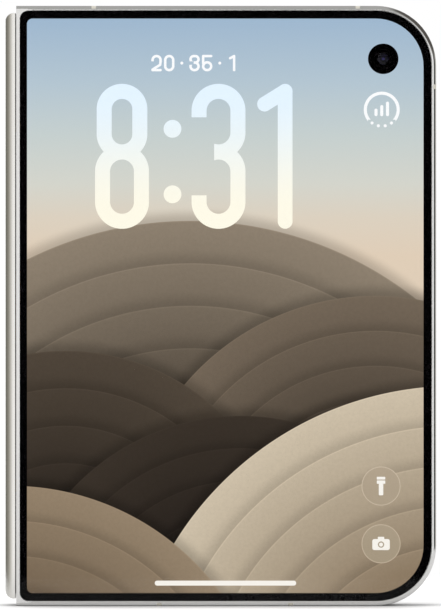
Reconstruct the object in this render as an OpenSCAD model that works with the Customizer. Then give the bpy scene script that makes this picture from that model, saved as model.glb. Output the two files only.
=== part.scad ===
// Book-style foldable smartphone, shut, standing on its bottom edge.
// X runs across the phone from the fold to the free edge, Y from the cover
// screen to the rear cameras, Z up. The origin is the middle of the bottom
// edge, on the plane where the two halves meet.
// Half parts are drawn lying flat: x from the fold, y up the phone, z outwards
// from the parting plane. Hinge parts are drawn as sections across the fold.

/* [Body] */
// Height of the phone
phone_h = 120; // [110:1:140]
// Width of one half, from its fold edge to its free edge
half_w = 84; // [78:1:96]
// Distance from the parting plane to each outer face
face_h = 4.8; // [4.75:0.05:5.4]
// Radius of the two free corners
corner_r = 12; // [8:0.5:15]
// Width of the metal rim that shows round the glass
rim_w = 0.95; // [0.85:0.05:1.1]
// Thickness of the frame's side wall
wall = 1.2; // [1.15:0.05:1.3]
// Rounding of the frame's outer edge
edge_r = 0.8; // [0.5:0.05:0.85]
// Rounding of the frame's edge beside the parting plane
inner_edge_r = 0.25; // [0.15:0.05:0.3]
// Distance from the parting plane to the frame
frame_gap = 0.32; // [0.28:0.02:0.4]
// Width of the metal lip along the fold edge
lip_w = 0.7; // [0.5:0.05:1]
// Width of the seat that the glass is bonded to
ledge_w = 1.2; // [1:0.05:1.25]
// Thickness of the seat that the glass is bonded to
ledge_t = 0.7; // [0.5:0.05:0.9]
// Thickness of the mid plate
plate_t = 0.68; // [0.6:0.02:0.7]

/* [Glass and cover screen] */
// Thickness of the cover glass and the rear glass
glass_t = 0.5; // [0.45:0.01:0.52]
// Thickness of the cover screen panel
panel_t = 0.28; // [0.2:0.02:0.3]
// Black border on the fold side
border_fold = 2.1; // [2:0.1:3]
// Black border on the other three sides
border = 2.5; // [2.3:0.1:3.5]
// Corner radius of the lit area on the fold side
lit_r_fold = 1.1; // [0.6:0.1:2]
// Corner radius of the glass on the fold side
glass_r_fold = 1.7; // [1.2:0.1:2]
// Diameter of the round camera hole in the cover screen
hole_d = 6.1; // [4:0.1:7]
// Camera hole's distance from the free edge
hole_from_edge = 10.6; // [9:0.1:14]
// Camera hole's distance from the top
hole_from_top = 10.6; // [9:0.1:14]

/* [Fold] */
// How far the spine stands out past the fold edge when shut
spine_out = 2.3; // [2.2:0.05:2.4]
// Wall of the spine cover
spine_wall = 0.45; // [0.35:0.05:0.5]
// How much shorter the spine is than the halves, at each end
spine_inset = 1.4; // [1.35:0.05:3]
// Rounding of the spine cover's ends
spine_end_r = 1.8; // [1:0.1:2.5]
// Bend radius of the folded screen, to the middle of its thickness
drop_r = 1.2; // [1.15:0.01:1.22]
// Thickness of the folding screen
flex_t = 0.45; // [0.35:0.05:0.5]
// Slope of the screen beside the fold when shut, in degrees
drop_tilt = 8; // [7.5:0.5:10]
// How far the fold of the screen rises out of the spine on opening
fold_lift = 0.67; // [0.64:0.01:0.7]
// Half the gap between the two fold edges when open
open_gap = 0.1; // [0.08:0.01:0.15]
// Height of the upper and lower hinge, from each end
hinge_from_end = 24; // [18:1:34]

/* [Hinge gears] */
// Distance of a sync gear from its fold axis, along X and along Y
sync_offset = 1.2; // [1.15:0.01:1.22]
// Pitch radius of the four gears
gear_pr = 0.735; // [0.732:0.001:0.74]
// Teeth on each gear
gear_teeth = 12; // [12:1:14]
// Width of the gears along the spine
gear_w = 2.4; // [1.6:0.1:2.6]
// Radius of the gear pins
gear_pin_r = 0.25; // [0.2:0.01:0.28]
// Running gap of a gear on its pin
pin_gap = 0.02; // [0.015:0.005:0.04]
// Thickness of the swinging arms
arm_t = 0.5; // [0.4:0.02:0.5]
// Width of a rotor arm along the spine
rotor_w = 2.4; // [1.8:0.1:2.6]

/* [Buttons] */
// Length of the power button
power_l = 12; // [8:0.5:14]
// Length of each volume button
volume_l = 9; // [6:0.5:10]
// Width of the buttons
button_w = 2.1; // [1.6:0.1:2.3]
// How far a button stands out
button_out = 0.18; // [0.1:0.02:0.3]
// Travel of a button
button_travel = 0.25; // [0.15:0.05:0.3]
// Gap round a button
button_gap = 0.06; // [0.04:0.01:0.1]

/* [Rear cameras] */
// Length of the camera plateau
plateau_l = 42; // [36:1:50]
// Width of the camera plateau
plateau_w = 19; // [17:0.5:22]
// Height of the camera plateau above the rear glass
plateau_h = 1.9; // [1.4:0.1:2.6]
// Radius of each rear camera's ring
lens_r = 7; // [5.5:0.1:7.5]
// Height of each camera ring above the plateau
lens_h = 1; // [0.6:0.1:1.4]

/* [Ports] */
// Width of the charging port's opening
port_w = 8.34; // [8:0.02:9]
// Height of the charging port's opening
port_t = 2.56; // [2.3:0.02:2.7]
// Radius of the speaker and microphone holes
hole_r = 0.6; // [0.4:0.05:0.8]

/* [Hidden] */
$fn = 64;

// Places that follow from the driving sizes
total_w = half_w + spine_out;
edge_x = spine_out - total_w / 2;      // the fold edge of both halves
glass_h0 = face_h - glass_t;           // inner face of the glass
plate_h0 = frame_gap + flex_t;         // the folding screen lies on the mid plate here
plate_h1 = plate_h0 + plate_t;
fit = 0.05;                            // gap between parts that are laid in
slide = 0.06;                          // gap between parts that pass each other

// The folded screen: a drop of radius drop_r, then a slope up to the flat part
neutral_h = frame_gap + flex_t / 2;
slope_l = (drop_r * cos(drop_tilt) - neutral_h) / sin(drop_tilt);
tilt_rad = drop_tilt * PI / 180;
drop_u = drop_r * (PI / 2 + tilt_rad - sin(drop_tilt)) + slope_l * (1 - cos(drop_tilt)) - open_gap;
flat_u = drop_u + drop_r * sin(drop_tilt) + slope_l * cos(drop_tilt);
open_u = drop_u - drop_r + fold_lift;  // the flat open screen, seen from the spine
axis_u = (open_u + neutral_h - open_gap) / 2;
axis_h = (open_u + neutral_h + open_gap) / 2;
drop_clear = drop_r + flex_t / 2 + fit;

// The spine is rolled round the two fold axes
spine_r = spine_out + axis_u;
spine_z0 = spine_inset;
spine_z1 = phone_h - spine_inset;
spine_in_r = spine_r - spine_wall;
arm_h0 = plate_h1 + 0.05;              // arms pass the folded screen here
arm_h1 = arm_h0 + arm_t;
rotor_r0 = arm_h0 - axis_h;
rotor_r1 = arm_h1 - axis_h;
spine_lip_u = axis_u - rotor_r1 - slide;
bracket_top = 0.6;
bracket_l = 16;
rotor_z = 5;                           // rotors sit this far either side of the gears
rib_t = 0.5;
rib_r0 = rotor_r0 + 0.15;
rib_r1 = rotor_r1 - 0.15;
hinge_z = [hinge_from_end, phone_h - hinge_from_end];

// Gear train: arm gear, two idlers, arm gear
sync_u = axis_u - sync_offset;
sync_h = axis_h + sync_offset;
idler_u = sync_u - sqrt(4 * gear_pr * gear_pr - (sync_h - gear_pr) * (sync_h - gear_pr));
gear_m = 2 * gear_pr / gear_teeth;
gear_or = gear_pr + 0.9 * gear_m;
mesh_a = atan2(sync_h - gear_pr, sync_u - idler_u);
tooth_a = 360 / gear_teeth;
idler_phase = 270;
idler_phase_front = 90 + tooth_a / 2;
sync_phase = 2 * mesh_a + 180 - tooth_a / 2 - idler_phase;
guide_pin_r = 0.2;
guide_u = 8;                           // guide pin's place on a sync arm, shut
guide_h = (arm_h0 + 0.05 + arm_h1) / 2;
guide_z0 = gear_w / 2 + 0.15;
guide_w = 1.2;
arm_end = 11;

// Wing plates rock in the edge of the mid plate
wing_t = 0.3;
wing_bead_r = 0.3;
wing_u = flat_u + 0.35;
wing_h = plate_h0 + 0.02 + wing_bead_r;
wing_tip = 2.3;
plate_u0 = wing_u + 0.1;
room_u0 = 12;                          // electronics start here, clear of the hinge arms
room_u1 = half_w - wall;

screen_inset = wall + 0.1;
fold_inset = 0.6;                      // the fold is shorter than the flat screen at each end
bay_h0 = plate_h1 + 0.02;              // underside of batteries and boards
bay_h1 = 3.85;                         // top of the rear battery, under the charging coil
bay_u0 = room_u0 + 1;
battery_u = [room_u0 + 1.5, room_u1 - 2.8];
battery_z0 = [30, 12];                 // rear and front
board_z0 = [phone_h - 34, phone_h - 25];
board_h1 = bay_h0 + 0.6;
battery_z1 = [board_z0[0] - 4, board_z0[1] - 3];
ledge_h0 = glass_h0 - ledge_t;         // underside of the glass's seat
room_h1 = ledge_h0 - fit;              // parts beside the rail stay under its seat
port_skin = 0.3;
port_u = half_w / 2;
port_h = (frame_gap + face_h) / 2 + 0.02;
hole_pitch = 2.2;
speaker_u = [for (i = [0 : 4]) port_u + 15.6 + i * hole_pitch];
mic_u = [for (i = [0 : 2]) port_u - 16 - i * hole_pitch];
screw_u = [port_u - 8.5, port_u + 8.5];
screw_r = 0.7;
button_h = port_h;
power_z = phone_h - 54;
volume_z = [phone_h - 28, phone_h - 40];
cam_z = phone_h - 16;
cam_u = [half_w - 17, half_w - 36];
cover_cam_u = half_w - hole_from_edge;
cover_cam_z = phone_h - hole_from_top;

silver = "#d9d8d2";
dark = "#1b1b1d";

// ---------- placing ----------

module front() {
    translate([edge_x, 0, 0]) rotate([90, 0, 0]) children();
}

module rear() {
    translate([edge_x, 0, 0]) mirror([0, 1, 0]) rotate([90, 0, 0]) children();
}

// A section across the fold, drawn with x from the fold edge and y outwards
module section(z0, z1, side = 1) {
    translate([edge_x, 0, z0]) mirror([0, side > 0 ? 0 : 1, 0]) linear_extrude(z1 - z0) children();
}

module layer(h0, h1) {
    translate([0, 0, h0]) linear_extrude(h1 - h0) children();
}

// ---------- outlines ----------

// Square on the fold side, rounded on the free side; fold_r rounds the fold side too
module d_plate(u0, u1, z0, z1, free_r, fold_r = 0) {
    translate([u0 + fold_r, z0]) square([u1 - free_r - u0 - fold_r, z1 - z0]);
    translate([u0 + fold_r, z0 + free_r]) square([u1 - u0 - fold_r, z1 - z0 - 2 * free_r]);
    for (z = [z0 + free_r, z1 - free_r]) translate([u1 - free_r, z]) circle(free_r);
    if (fold_r > 0) {
        translate([u0, z0 + fold_r]) square([2 * fold_r, z1 - z0 - 2 * fold_r]);
        for (z = [z0 + fold_r, z1 - fold_r]) translate([u0 + fold_r, z]) circle(fold_r);
    }
}

module stadium(l, w) {
    translate([-(l - w) / 2, -w / 2]) square([l - w, w]);
    for (x = [-1, 1]) translate([x * (l - w) / 2, 0]) circle(w / 2);
}

module box(u0, u1, z0, z1, h0, h1) {
    translate([u0, z0, h0]) cube([u1 - u0, z1 - z0, h1 - h0]);
}

module ring_2d(r0, r1) {
    difference() {
        circle(r1);
        circle(r0);
    }
}

// ---------- frame ----------

// Section of the side rail: x inwards from its outer face, y outwards from the parting plane
module rail_profile() {
    difference() {
        union() {
            translate([0, frame_gap + inner_edge_r])
                square([wall, face_h - edge_r - frame_gap - inner_edge_r]);
            translate([inner_edge_r, frame_gap]) square([wall - inner_edge_r, 1]);
            translate([inner_edge_r, frame_gap + inner_edge_r]) circle(inner_edge_r);
            translate([edge_r, face_h - 1]) square([wall - edge_r, 1]);
            translate([edge_r, face_h - edge_r]) intersection() {
                circle(edge_r);
                translate([-edge_r, 0]) square(edge_r);
            }
            translate([rim_w, ledge_h0]) square([ledge_w, ledge_t]);
        }
        translate([rim_w, glass_h0]) square([edge_r + wall, glass_t * 2]);
    }
}

module rail_sweep() {
    straight = half_w - corner_r;
    translate([0, phone_h, 0]) rotate([90, 0, 90]) linear_extrude(straight)
        mirror([1, 0]) children();
    rotate([90, 0, 90]) linear_extrude(straight) children();
    translate([half_w, phone_h - corner_r, 0]) rotate([90, 0, 0])
        linear_extrude(phone_h - 2 * corner_r) mirror([1, 0]) children();
    for (turn = [0, 1])
        translate([straight, turn == 0 ? phone_h - corner_r : corner_r, 0])
            rotate([0, 0, -90 * turn]) rotate_extrude(angle = 90)
                translate([corner_r, 0]) mirror([1, 0]) children();
}

// Space that the spine rolls through as a half swings round it
module spine_sweep() {
    gap = 0.14;
    translate([0, spine_z0 - 0.15, 0]) rotate([-90, 0, 0]) mirror([0, 1, 0])
        linear_extrude(spine_z1 - spine_z0 + 0.3) {
            translate([axis_u, axis_h]) circle(spine_r + gap);
            translate([-1, -1]) square([axis_u + 1, axis_h + 1 + spine_r + gap]);
        }
}

// The rails' ends are rounded beside the parting plane, to pass each other as the halves turn
module fold_corner() {
    translate([0, phone_h + 1, 0]) rotate([90, 0, 0]) linear_extrude(phone_h + 2) difference() {
        translate([-1, -1]) square([axis_u + 1, axis_h + 1]);
        translate([axis_u, axis_h]) circle(axis_h - fit);
    }
}

// Slits in the rail that the antenna bands fill
band_w = 0.9;
band_top_u = [15.5, half_w - 15.7];
band_bottom_u = [28.6, half_w - 29.1];
band_z = phone_h - 16.2;

module band_cutters(grow = 0) {
    for (u = band_top_u) box(u - band_w / 2 - grow, u + band_w / 2 + grow,
        phone_h - wall / 2, phone_h + 1, 0, face_h + 1);
    for (u = band_bottom_u) box(u - band_w / 2 - grow, u + band_w / 2 + grow,
        -1, wall / 2, 0, face_h + 1);
    box(half_w - wall / 2, half_w + 1, band_z - band_w / 2 - grow, band_z + band_w / 2 + grow,
        0, face_h + 1);
}

module antenna_bands() {
    color("#c4c3bd") intersection() {
        rail_sweep() rail_profile();
        band_cutters();
    }
}

// Lip beside the fold, with a fillet outside each rounded corner of the glass
module fold_lip() {
    inset = rim_w + 0.01;
    difference() {
        box(0, lip_w + glass_r_fold, wall / 2, phone_h - wall / 2, glass_h0, face_h);
        layer(glass_h0 - 1, face_h + 1) d_plate(lip_w, half_w - inset, inset,
            phone_h - inset, corner_r - inset, glass_r_fold + 0.02);
    }
}

module frame_blank() {
    difference() {
        union() {
            rail_sweep() rail_profile();
            fold_lip();
        }
        spine_sweep();
        fold_corner();
        band_cutters();
    }
}

module button_hole(z, l) {
    translate([half_w - wall - 1, z, button_h]) rotate([90, 0, 90])
        linear_extrude(wall + 2) stadium(l + 2 * button_gap, button_w + 2 * button_gap);
}

module rear_frame() {
    color(silver) rear() difference() {
        frame_blank();
        button_hole(power_z, power_l);
        for (z = volume_z) button_hole(z, volume_l);
        translate([port_u, -1, port_h]) rotate([-90, 0, 0])
            linear_extrude(wall + 2) stadium(port_w, port_t);
        translate([port_u, wall - 0.01, port_h]) rotate([-90, 0, 0]) linear_extrude(ledge_w + 1)
            stadium(port_w + 2 * (port_skin + fit), port_t + 2 * (port_skin + fit));
        for (u = concat(speaker_u, mic_u)) translate([u, -1, port_h])
            rotate([-90, 0, 0]) cylinder(h = wall + 2, r = hole_r);
        for (u = screw_u) translate([u, -1, port_h])
            rotate([-90, 0, 0]) cylinder(h = wall + 2, r = screw_r + fit);
    }
}

module front_frame() {
    color(silver) front() difference() {
        frame_blank();
        translate([half_w / 2, phone_h - wall - 1, port_h]) rotate([-90, 0, 0])
            linear_extrude(wall + 2) stadium(11, 0.9);
        translate([half_w / 2 + 16, phone_h - wall - 1, port_h]) rotate([-90, 0, 0])
            cylinder(h = wall + 2, r = 0.4);
    }
}

// ---------- plates, glass, screens ----------

module mid_plate() {
    difference() {
        layer(plate_h0, plate_h1)
            d_plate(plate_u0, half_w - wall, wall, phone_h - wall, corner_r - wall);
        translate([wing_u, 0, wing_h]) rotate([-90, 0, 0])
            cylinder(h = phone_h, r = wing_bead_r + 0.03);
        for (z = hinge_z, s = [-1, 1]) translate([arm_end - 2 + s, z, 0]) {
            translate([0, -rotor_z, 0]) cylinder(h = 3, r = 0.4);
            translate([0, rotor_z, 0]) cylinder(h = 3, r = 0.4);
        }
    }
}

module rear_mid_plate() {
    color("#8f9092") rear() difference() {
        mid_plate();
        box(port_u - port_w / 2 - 0.6, port_u + port_w / 2 + 0.6, 0, 9.2, 0, 3);
    }
}

module front_mid_plate() {
    color("#8f9092") front() difference() {
        mid_plate();
        translate([inner_cam_u, inner_cam_z, 0]) cylinder(h = 3, r = inner_cam_r + fit);
    }
}

module face_glass(free_inset = rim_w + 0.03) {
    layer(glass_h0, face_h) d_plate(lip_w + 0.02, half_w - free_inset, free_inset,
        phone_h - free_inset, corner_r - free_inset, glass_r_fold);
}

module rear_glass() {
    color("#e4e3de") rear() difference() {
        face_glass();
        translate([(cam_u[0] + cam_u[1]) / 2, cam_z, 0])
            linear_extrude(face_h + 1) stadium(plateau_l + 2 * fit, plateau_w + 2 * fit);
    }
}

module cover_glass() {
    color([0.05, 0.05, 0.06, 0.4]) front() face_glass();
}

module cover_screen() {
    color("#a9b4bf") front() difference() {
        layer(glass_h0 - 0.02 - panel_t, glass_h0 - 0.02)
            d_plate(border_fold, half_w - border, border, phone_h - border,
                corner_r - border, lit_r_fold);
        translate([cover_cam_u, cover_cam_z, 0]) cylinder(h = face_h, r = hole_d / 2);
    }
}

// Raised rim round the inner screen, stopping short of the fold
module screen_rim() {
    rim_h0 = 0.12;
    d0 = 0.35;
    d1 = 1.75;
    difference() {
        layer(rim_h0, frame_gap)
            d_plate(flat_u + 1.5, half_w - d0, d0, phone_h - d0, corner_r - d0);
        layer(rim_h0 - 1, frame_gap + 1)
            d_plate(flat_u, half_w - d1, d1, phone_h - d1, corner_r - d1);
    }
}

module screen_rim_rear() {
    color(dark) rear() screen_rim();
}

module screen_rim_front() {
    color(dark) front() screen_rim();
}

module rim_bumpers() {
    color("#2a2a2c") rear() for (z = [14, phone_h / 2, phone_h - 14])
        translate([half_w - 1.05, z, 0.02]) cylinder(h = 0.1, r = 0.5);
}

module inner_screen_flat() {
    layer(frame_gap, plate_h0) d_plate(flat_u + fit, half_w - screen_inset, screen_inset,
        phone_h - screen_inset, corner_r - screen_inset);
}

module inner_screen_rear() {
    color("#101014") rear() inner_screen_flat();
}

module inner_screen_front() {
    color("#101014") front() difference() {
        inner_screen_flat();
        translate([inner_cam_u, inner_cam_z, 0]) cylinder(h = 3, r = 1.7);
    }
}

// The folded screen in section: a drop, then a slope on either side up to the flat part
module drop_section() {
    r0 = drop_r - flex_t / 2;
    r1 = drop_r + flex_t / 2;
    far = 3 * r1;
    lean = far * tan(drop_tilt);
    translate([drop_u, 0]) {
        intersection() {
            ring_2d(r0, r1);
            polygon([[0, 0], [lean, far], [-far, far], [-far, -far], [lean, -far]]);
        }
        for (side = [-1, 1]) rotate(-side * drop_tilt)
            translate([0, side > 0 ? r0 : -r1]) square([slope_l, flex_t]);
    }
}

module inner_screen_fold() {
    color("#101014") section(screen_inset + fold_inset, phone_h - screen_inset - fold_inset)
        drop_section();
}

// ---------- spine ----------

module spine_profile(r) {
    for (side = [-1, 1]) translate([axis_u, side * axis_h]) circle(r);
    translate([axis_u - r, -axis_h]) square([r, 2 * axis_h]);
}

// The spine's outline seen from the front, with rounded ends
module spine_side(inset) {
    u0 = axis_u - spine_r + inset;
    z0 = spine_z0 + inset;
    z1 = spine_z1 - inset;
    r = spine_end_r - inset;
    translate([u0 + r, z0]) square([4, z1 - z0]);
    translate([u0, z0 + r]) square([r, z1 - z0 - 2 * r]);
    for (z = [z0 + r, z1 - r]) translate([u0 + r, z]) circle(r);
}

module spine_body(inset) {
    intersection() {
        translate([edge_x, 0, 0]) linear_extrude(phone_h) difference() {
            spine_profile(spine_r - inset);
            translate([spine_lip_u, -8]) square([12, 16]);
        }
        translate([edge_x, 8, 0]) rotate([90, 0, 0]) linear_extrude(16) spine_side(inset);
    }
}

module spine_cover() {
    color(silver) difference() {
        spine_body(0);
        spine_hollow();
    }
}

module spine_hollow() {
    translate([edge_x, 0, spine_z0 + 2 * spine_wall]) linear_extrude(spine_z1 - spine_z0 - 4 * spine_wall)
        intersection() {
            spine_profile(spine_in_r);
            translate([-5, -8]) square([12, 16]);
        }
}

// Solid part of a bracket in section, seated in the spine cover
module bracket_section() {
    difference() {
        intersection() {
            spine_profile(spine_in_r - 0.02);
            translate([-4, -8]) square([4 + bracket_top, 16]);
        }
        translate([drop_u, 0]) circle(drop_clear);
    }
}

// Slot that a rotor swings in, with the grooves for its ribs
module rotor_slot(side) {
    z = side * -rotor_z;
    slot(z - rotor_w / 2 - 0.1, z + rotor_w / 2 + 0.1, side) {
        translate([axis_u, axis_h]) circle(rotor_r1 + slide);
        translate([spine_lip_u, axis_h]) square([4, 6]);
    }
    slot(z - rotor_w / 2 - rib_t - slide, z + rotor_w / 2 + rib_t + slide, side)
        translate([axis_u, axis_h]) ring_2d(rib_r0 - 0.03, rib_r1 + 0.03);
}

module slot(z0, z1, side) {
    translate([0, 0, z0]) mirror([0, side > 0 ? 0 : 1, 0]) linear_extrude(z1 - z0) children();
}

module gear_slot() {
    for (side = [1, -1]) slot(-gear_w / 2 - 0.1, gear_w / 2 + 0.1, side) {
        translate([sync_u, sync_h]) circle(gear_or + slide);
        translate([idler_u, gear_pr]) circle(gear_or + slide);
        translate([spine_lip_u, axis_h + rotor_r0 - 0.15]) square([4, 6]);
    }
}

module hinge_bracket(z) {
    translate([edge_x, 0, z]) difference() {
        translate([0, 0, -bracket_l / 2]) linear_extrude(bracket_l) bracket_section();
        rotor_slot(1);
        rotor_slot(-1);
        gear_slot();
        for (side = [-1, 1]) {
            translate([sync_u, side * sync_h, -pin_l / 2]) cylinder(h = pin_l, r = gear_pin_r + 0.01);
            translate([idler_u, side * gear_pr, -pin_l / 2]) cylinder(h = pin_l, r = gear_pin_r + 0.01);
        }
    }
}

pin_l = 5;

module hinge_bracket_upper() {
    color("#77787b") hinge_bracket(hinge_z[1]);
}

module hinge_bracket_lower() {
    color("#77787b") hinge_bracket(hinge_z[0]);
}

module gear_pins() {
    color("#b9bbbf") for (z = hinge_z, side = [-1, 1]) translate([edge_x, 0, z - pin_l / 2]) {
        translate([sync_u, side * sync_h, 0]) cylinder(h = pin_l, r = gear_pin_r);
        translate([idler_u, side * gear_pr, 0]) cylinder(h = pin_l, r = gear_pin_r);
    }
}

// ---------- gears and arms ----------

pressure = 25;
function involute(a) = tan(a) * 180 / PI - a;
function flank_a(r) = 90 / gear_teeth - 1.1 + involute(pressure)
    - involute(acos(min(1, gear_pr * cos(pressure) / r)));
gear_root = gear_pr - 1.15 * gear_m;
gear_base = gear_pr * cos(pressure);
flank_r = [for (k = [0 : 3]) gear_base + (gear_or - gear_base) * k / 3];

function polar(r, a) = [r * cos(a), r * sin(a)];
function tooth(a) = concat(
    [polar(gear_root, a - flank_a(gear_base))],
    [for (r = flank_r) polar(r, a - flank_a(r))],
    [for (k = [3 : -1 : 0]) polar(flank_r[k], a + flank_a(flank_r[k]))],
    [polar(gear_root, a + flank_a(gear_base))]);

module gear_2d(phase) {
    difference() {
        polygon([for (i = [0 : gear_teeth - 1]) each tooth(phase + i * tooth_a)]);
        circle(gear_pin_r + pin_gap);
    }
}

module idler_gears(side) {
    phase = side > 0 ? idler_phase : idler_phase_front;
    for (z = hinge_z) translate([edge_x + idler_u, side * gear_pr, z - gear_w / 2])
        linear_extrude(gear_w) gear_2d(phase);
}

module idler_gears_rear() {
    color("#a8843f") idler_gears(1);
}

module idler_gears_front() {
    color("#a8843f") idler_gears(-1);
}

// Front phases are worked out in the rear's mirror image
front_idler_phase_mirrored = -idler_phase_front;
front_sync_phase = 2 * mesh_a + 180 - tooth_a / 2 - front_idler_phase_mirrored;

module sync_arm_section(phase) {
    translate([sync_u, sync_h]) gear_2d(phase);
    difference() {
        translate([sync_u + gear_root * 0.6, arm_h0 + 0.05])
            square([guide_u + 0.5 - sync_u - gear_root * 0.6, arm_h1 - arm_h0 - 0.05]);
        translate([sync_u, sync_h]) circle(gear_pin_r + pin_gap);
    }
}

module sync_arms(side) {
    for (z = hinge_z) {
        section(z - gear_w / 2, z + gear_w / 2, side)
            sync_arm_section(side > 0 ? sync_phase : front_sync_phase);
        section(z + gear_w / 2, z + guide_z0 + guide_w, side)
            translate([guide_u, guide_h]) circle(guide_pin_r);
    }
}

module sync_arms_rear() {
    color("#b08a45") sync_arms(1);
}

module sync_arms_front() {
    color("#b08a45") sync_arms(-1);
}

// The guide pin moves on this arc as the half swings
module guide_section() {
    arc_r = sqrt(2) * sync_offset;
    gap = guide_pin_r + 0.03;
    reach = 2 * sync_offset;
    difference() {
        translate([guide_u - 0.7, plate_h1])
            square([reach + 1.4, guide_h + arc_r - sync_offset + gap + 0.35 - plate_h1]);
        translate([guide_u + sync_offset, guide_h - sync_offset]) intersection() {
            ring_2d(arc_r - gap, arc_r + gap);
            polygon([[0, 0], [-4, 4], [4, 4]]);
        }
        for (u = [guide_u, guide_u + reach]) translate([u, guide_h]) circle(gap);
    }
}

module sync_guides(side) {
    for (z = hinge_z) section(z + guide_z0, z + guide_z0 + guide_w, side) guide_section();
}

module sync_guides_rear() {
    color("#6f7073") sync_guides(1);
}

module sync_guides_front() {
    color("#6f7073") sync_guides(-1);
}

// Crescent, arm and foot of a rotor in section
module rotor_section(r0, r1, with_arm) {
    translate([axis_u, axis_h]) intersection() {
        ring_2d(r0, r1);
        translate([-2 * r1, 0.06]) square([2 * r1, 2 * r1]);
    }
    if (with_arm) {
        translate([axis_u, axis_h + r0]) square([arm_end - axis_u, r1 - r0]);
        translate([plate_u0 + 0.6, plate_h1]) square([arm_end - plate_u0 - 0.6, 0.3]);
    }
}

module rotors(side) {
    for (z = hinge_z) {
        zc = z - side * rotor_z;
        difference() {
            section(zc - rotor_w / 2, zc + rotor_w / 2, side)
                rotor_section(rotor_r0, rotor_r1, true);
            for (s = [-1, 1]) translate([edge_x + arm_end - 2 + s, 0, zc])
                rotate([90, 0, 0]) cylinder(h = 12, r = 0.42, center = true);
        }
        section(zc - rotor_w / 2 - rib_t, zc + rotor_w / 2 + rib_t, side)
            rotor_section(rib_r0, rib_r1, false);
    }
}

module rotors_rear() {
    color("#8b8c90") rotors(1);
}

module rotors_front() {
    color("#8b8c90") rotors(-1);
}

module hinge_screws() {
    for (z = hinge_z, s = [-1, 1], side = [1, -1])
        translate([arm_end - 2 + s, z + side * rotor_z, plate_h0 + 0.05]) {
            cylinder(h = arm_h1 - plate_h0 - 0.05, r = 0.38);
            translate([0, 0, arm_h1 - plate_h0 - 0.05]) cylinder(h = 0.3, r = 0.7);
        }
}

module hinge_screws_rear() {
    color("#4c4d50") intersection() {
        rear() hinge_screws();
        screw_side(1);
    }
}

module hinge_screws_front() {
    color("#4c4d50") intersection() {
        front() hinge_screws();
        screw_side(-1);
    }
}

// Rotors of the two halves sit on opposite sides of the gears
module screw_side(side) {
    for (z = hinge_z) translate([edge_x, -8, z - side * rotor_z - 2]) cube([20, 16, 4]);
}

// ---------- wing plates ----------

module wing_section() {
    circle(wing_bead_r);
    translate([wing_tip - wing_u, -wing_bead_r]) square([wing_u - wing_tip, wing_t]);
}

module wing_plate(side) {
    difference() {
        translate([edge_x + wing_u, side * wing_h, 0]) mirror([0, side > 0 ? 0 : 1, 0])
            rotate(-drop_tilt) translate([0, 0, spine_z0 + 0.6])
                linear_extrude(spine_z1 - spine_z0 - 1.2) wing_section();
        for (z = hinge_z) translate([edge_x, -8, z - bracket_l / 2])
            cube([plate_u0 - 1.2, 16, bracket_l]);
    }
}

module wing_plate_rear() {
    color("#9b9ca0") wing_plate(1);
}

module wing_plate_front() {
    color("#9b9ca0") wing_plate(-1);
}

// Ribbon cable that crosses the fold under the screen
module hinge_flex() {
    loop_u = 1;
    loop_r = 1.95;
    ribbon_t = 0.14;
    color("#a5641f") section(phone_h / 2 - 7, phone_h / 2 + 7, 1) {
        intersection() {
            translate([loop_u, 0]) ring_2d(loop_r - ribbon_t / 2, loop_r + ribbon_t / 2);
            translate([loop_u - 4, -4]) square([4, 8]);
        }
        for (side = [-1, 1]) translate([loop_u, side * loop_r - ribbon_t / 2])
            square([arm_end - loop_u, ribbon_t]);
    }
}

// ---------- buttons ----------

module button(z, l) {
    rear() translate([0, z, button_h]) {
        translate([half_w - wall + 0.1, 0, 0]) rotate([90, 0, 90])
            linear_extrude(wall - 0.1 + button_out) stadium(l, button_w);
        translate([half_w - wall - 0.5, 0, 0]) rotate([90, 0, 90])
            linear_extrude(0.42) stadium(l + 1.2, button_w - 0.3);
        translate([half_w - wall - 0.1, 0, 0]) rotate([90, 0, 90])
            linear_extrude(0.3) stadium(l - 0.5, button_w - 0.4);
    }
}

module power_button() {
    color(silver) button(power_z, power_l);
}

module volume_up_button() {
    color(silver) button(volume_z[0], volume_l);
}

module volume_down_button() {
    color(silver) button(volume_z[1], volume_l);
}

module button_switches() {
    u1 = half_w - wall - 0.5 - button_travel - 0.05;
    color("#3b3c3f") rear() {
        for (z = concat([power_z], volume_z)) {
            box(u1 - 0.9, u1 - 0.3, z - 2.2, z + 2.2, button_h - 1, button_h + 1);
            translate([u1 - 0.35, z, button_h]) rotate([0, 90, 0]) cylinder(h = 0.35, r = 0.7);
        }
        box(u1 - 1.15, u1 - 0.9, power_z - 6, volume_z[0] + 5, button_h - 1.1, button_h + 1.1);
    }
}

// ---------- rear cameras ----------

module plateau_edge(r) {
    translate([0, 0]) square([plateau_w / 2, plateau_h - r]);
    square([plateau_w / 2 - r, plateau_h]);
    translate([plateau_w / 2 - r, plateau_h - r]) circle(r);
}

module plateau_top() {
    r = 0.9;
    run = plateau_l - plateau_w;
    translate([-run / 2, 0, 0]) rotate([90, 0, 90]) linear_extrude(run) {
        plateau_edge(r);
        mirror([1, 0]) plateau_edge(r);
    }
    for (s = [0, 1]) rotate([0, 0, 180 * s]) translate([run / 2, 0, 0])
        rotate([0, 0, -90]) rotate_extrude(angle = 180) intersection() {
            plateau_edge(r);
            square(plateau_w);
        }
}

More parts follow.
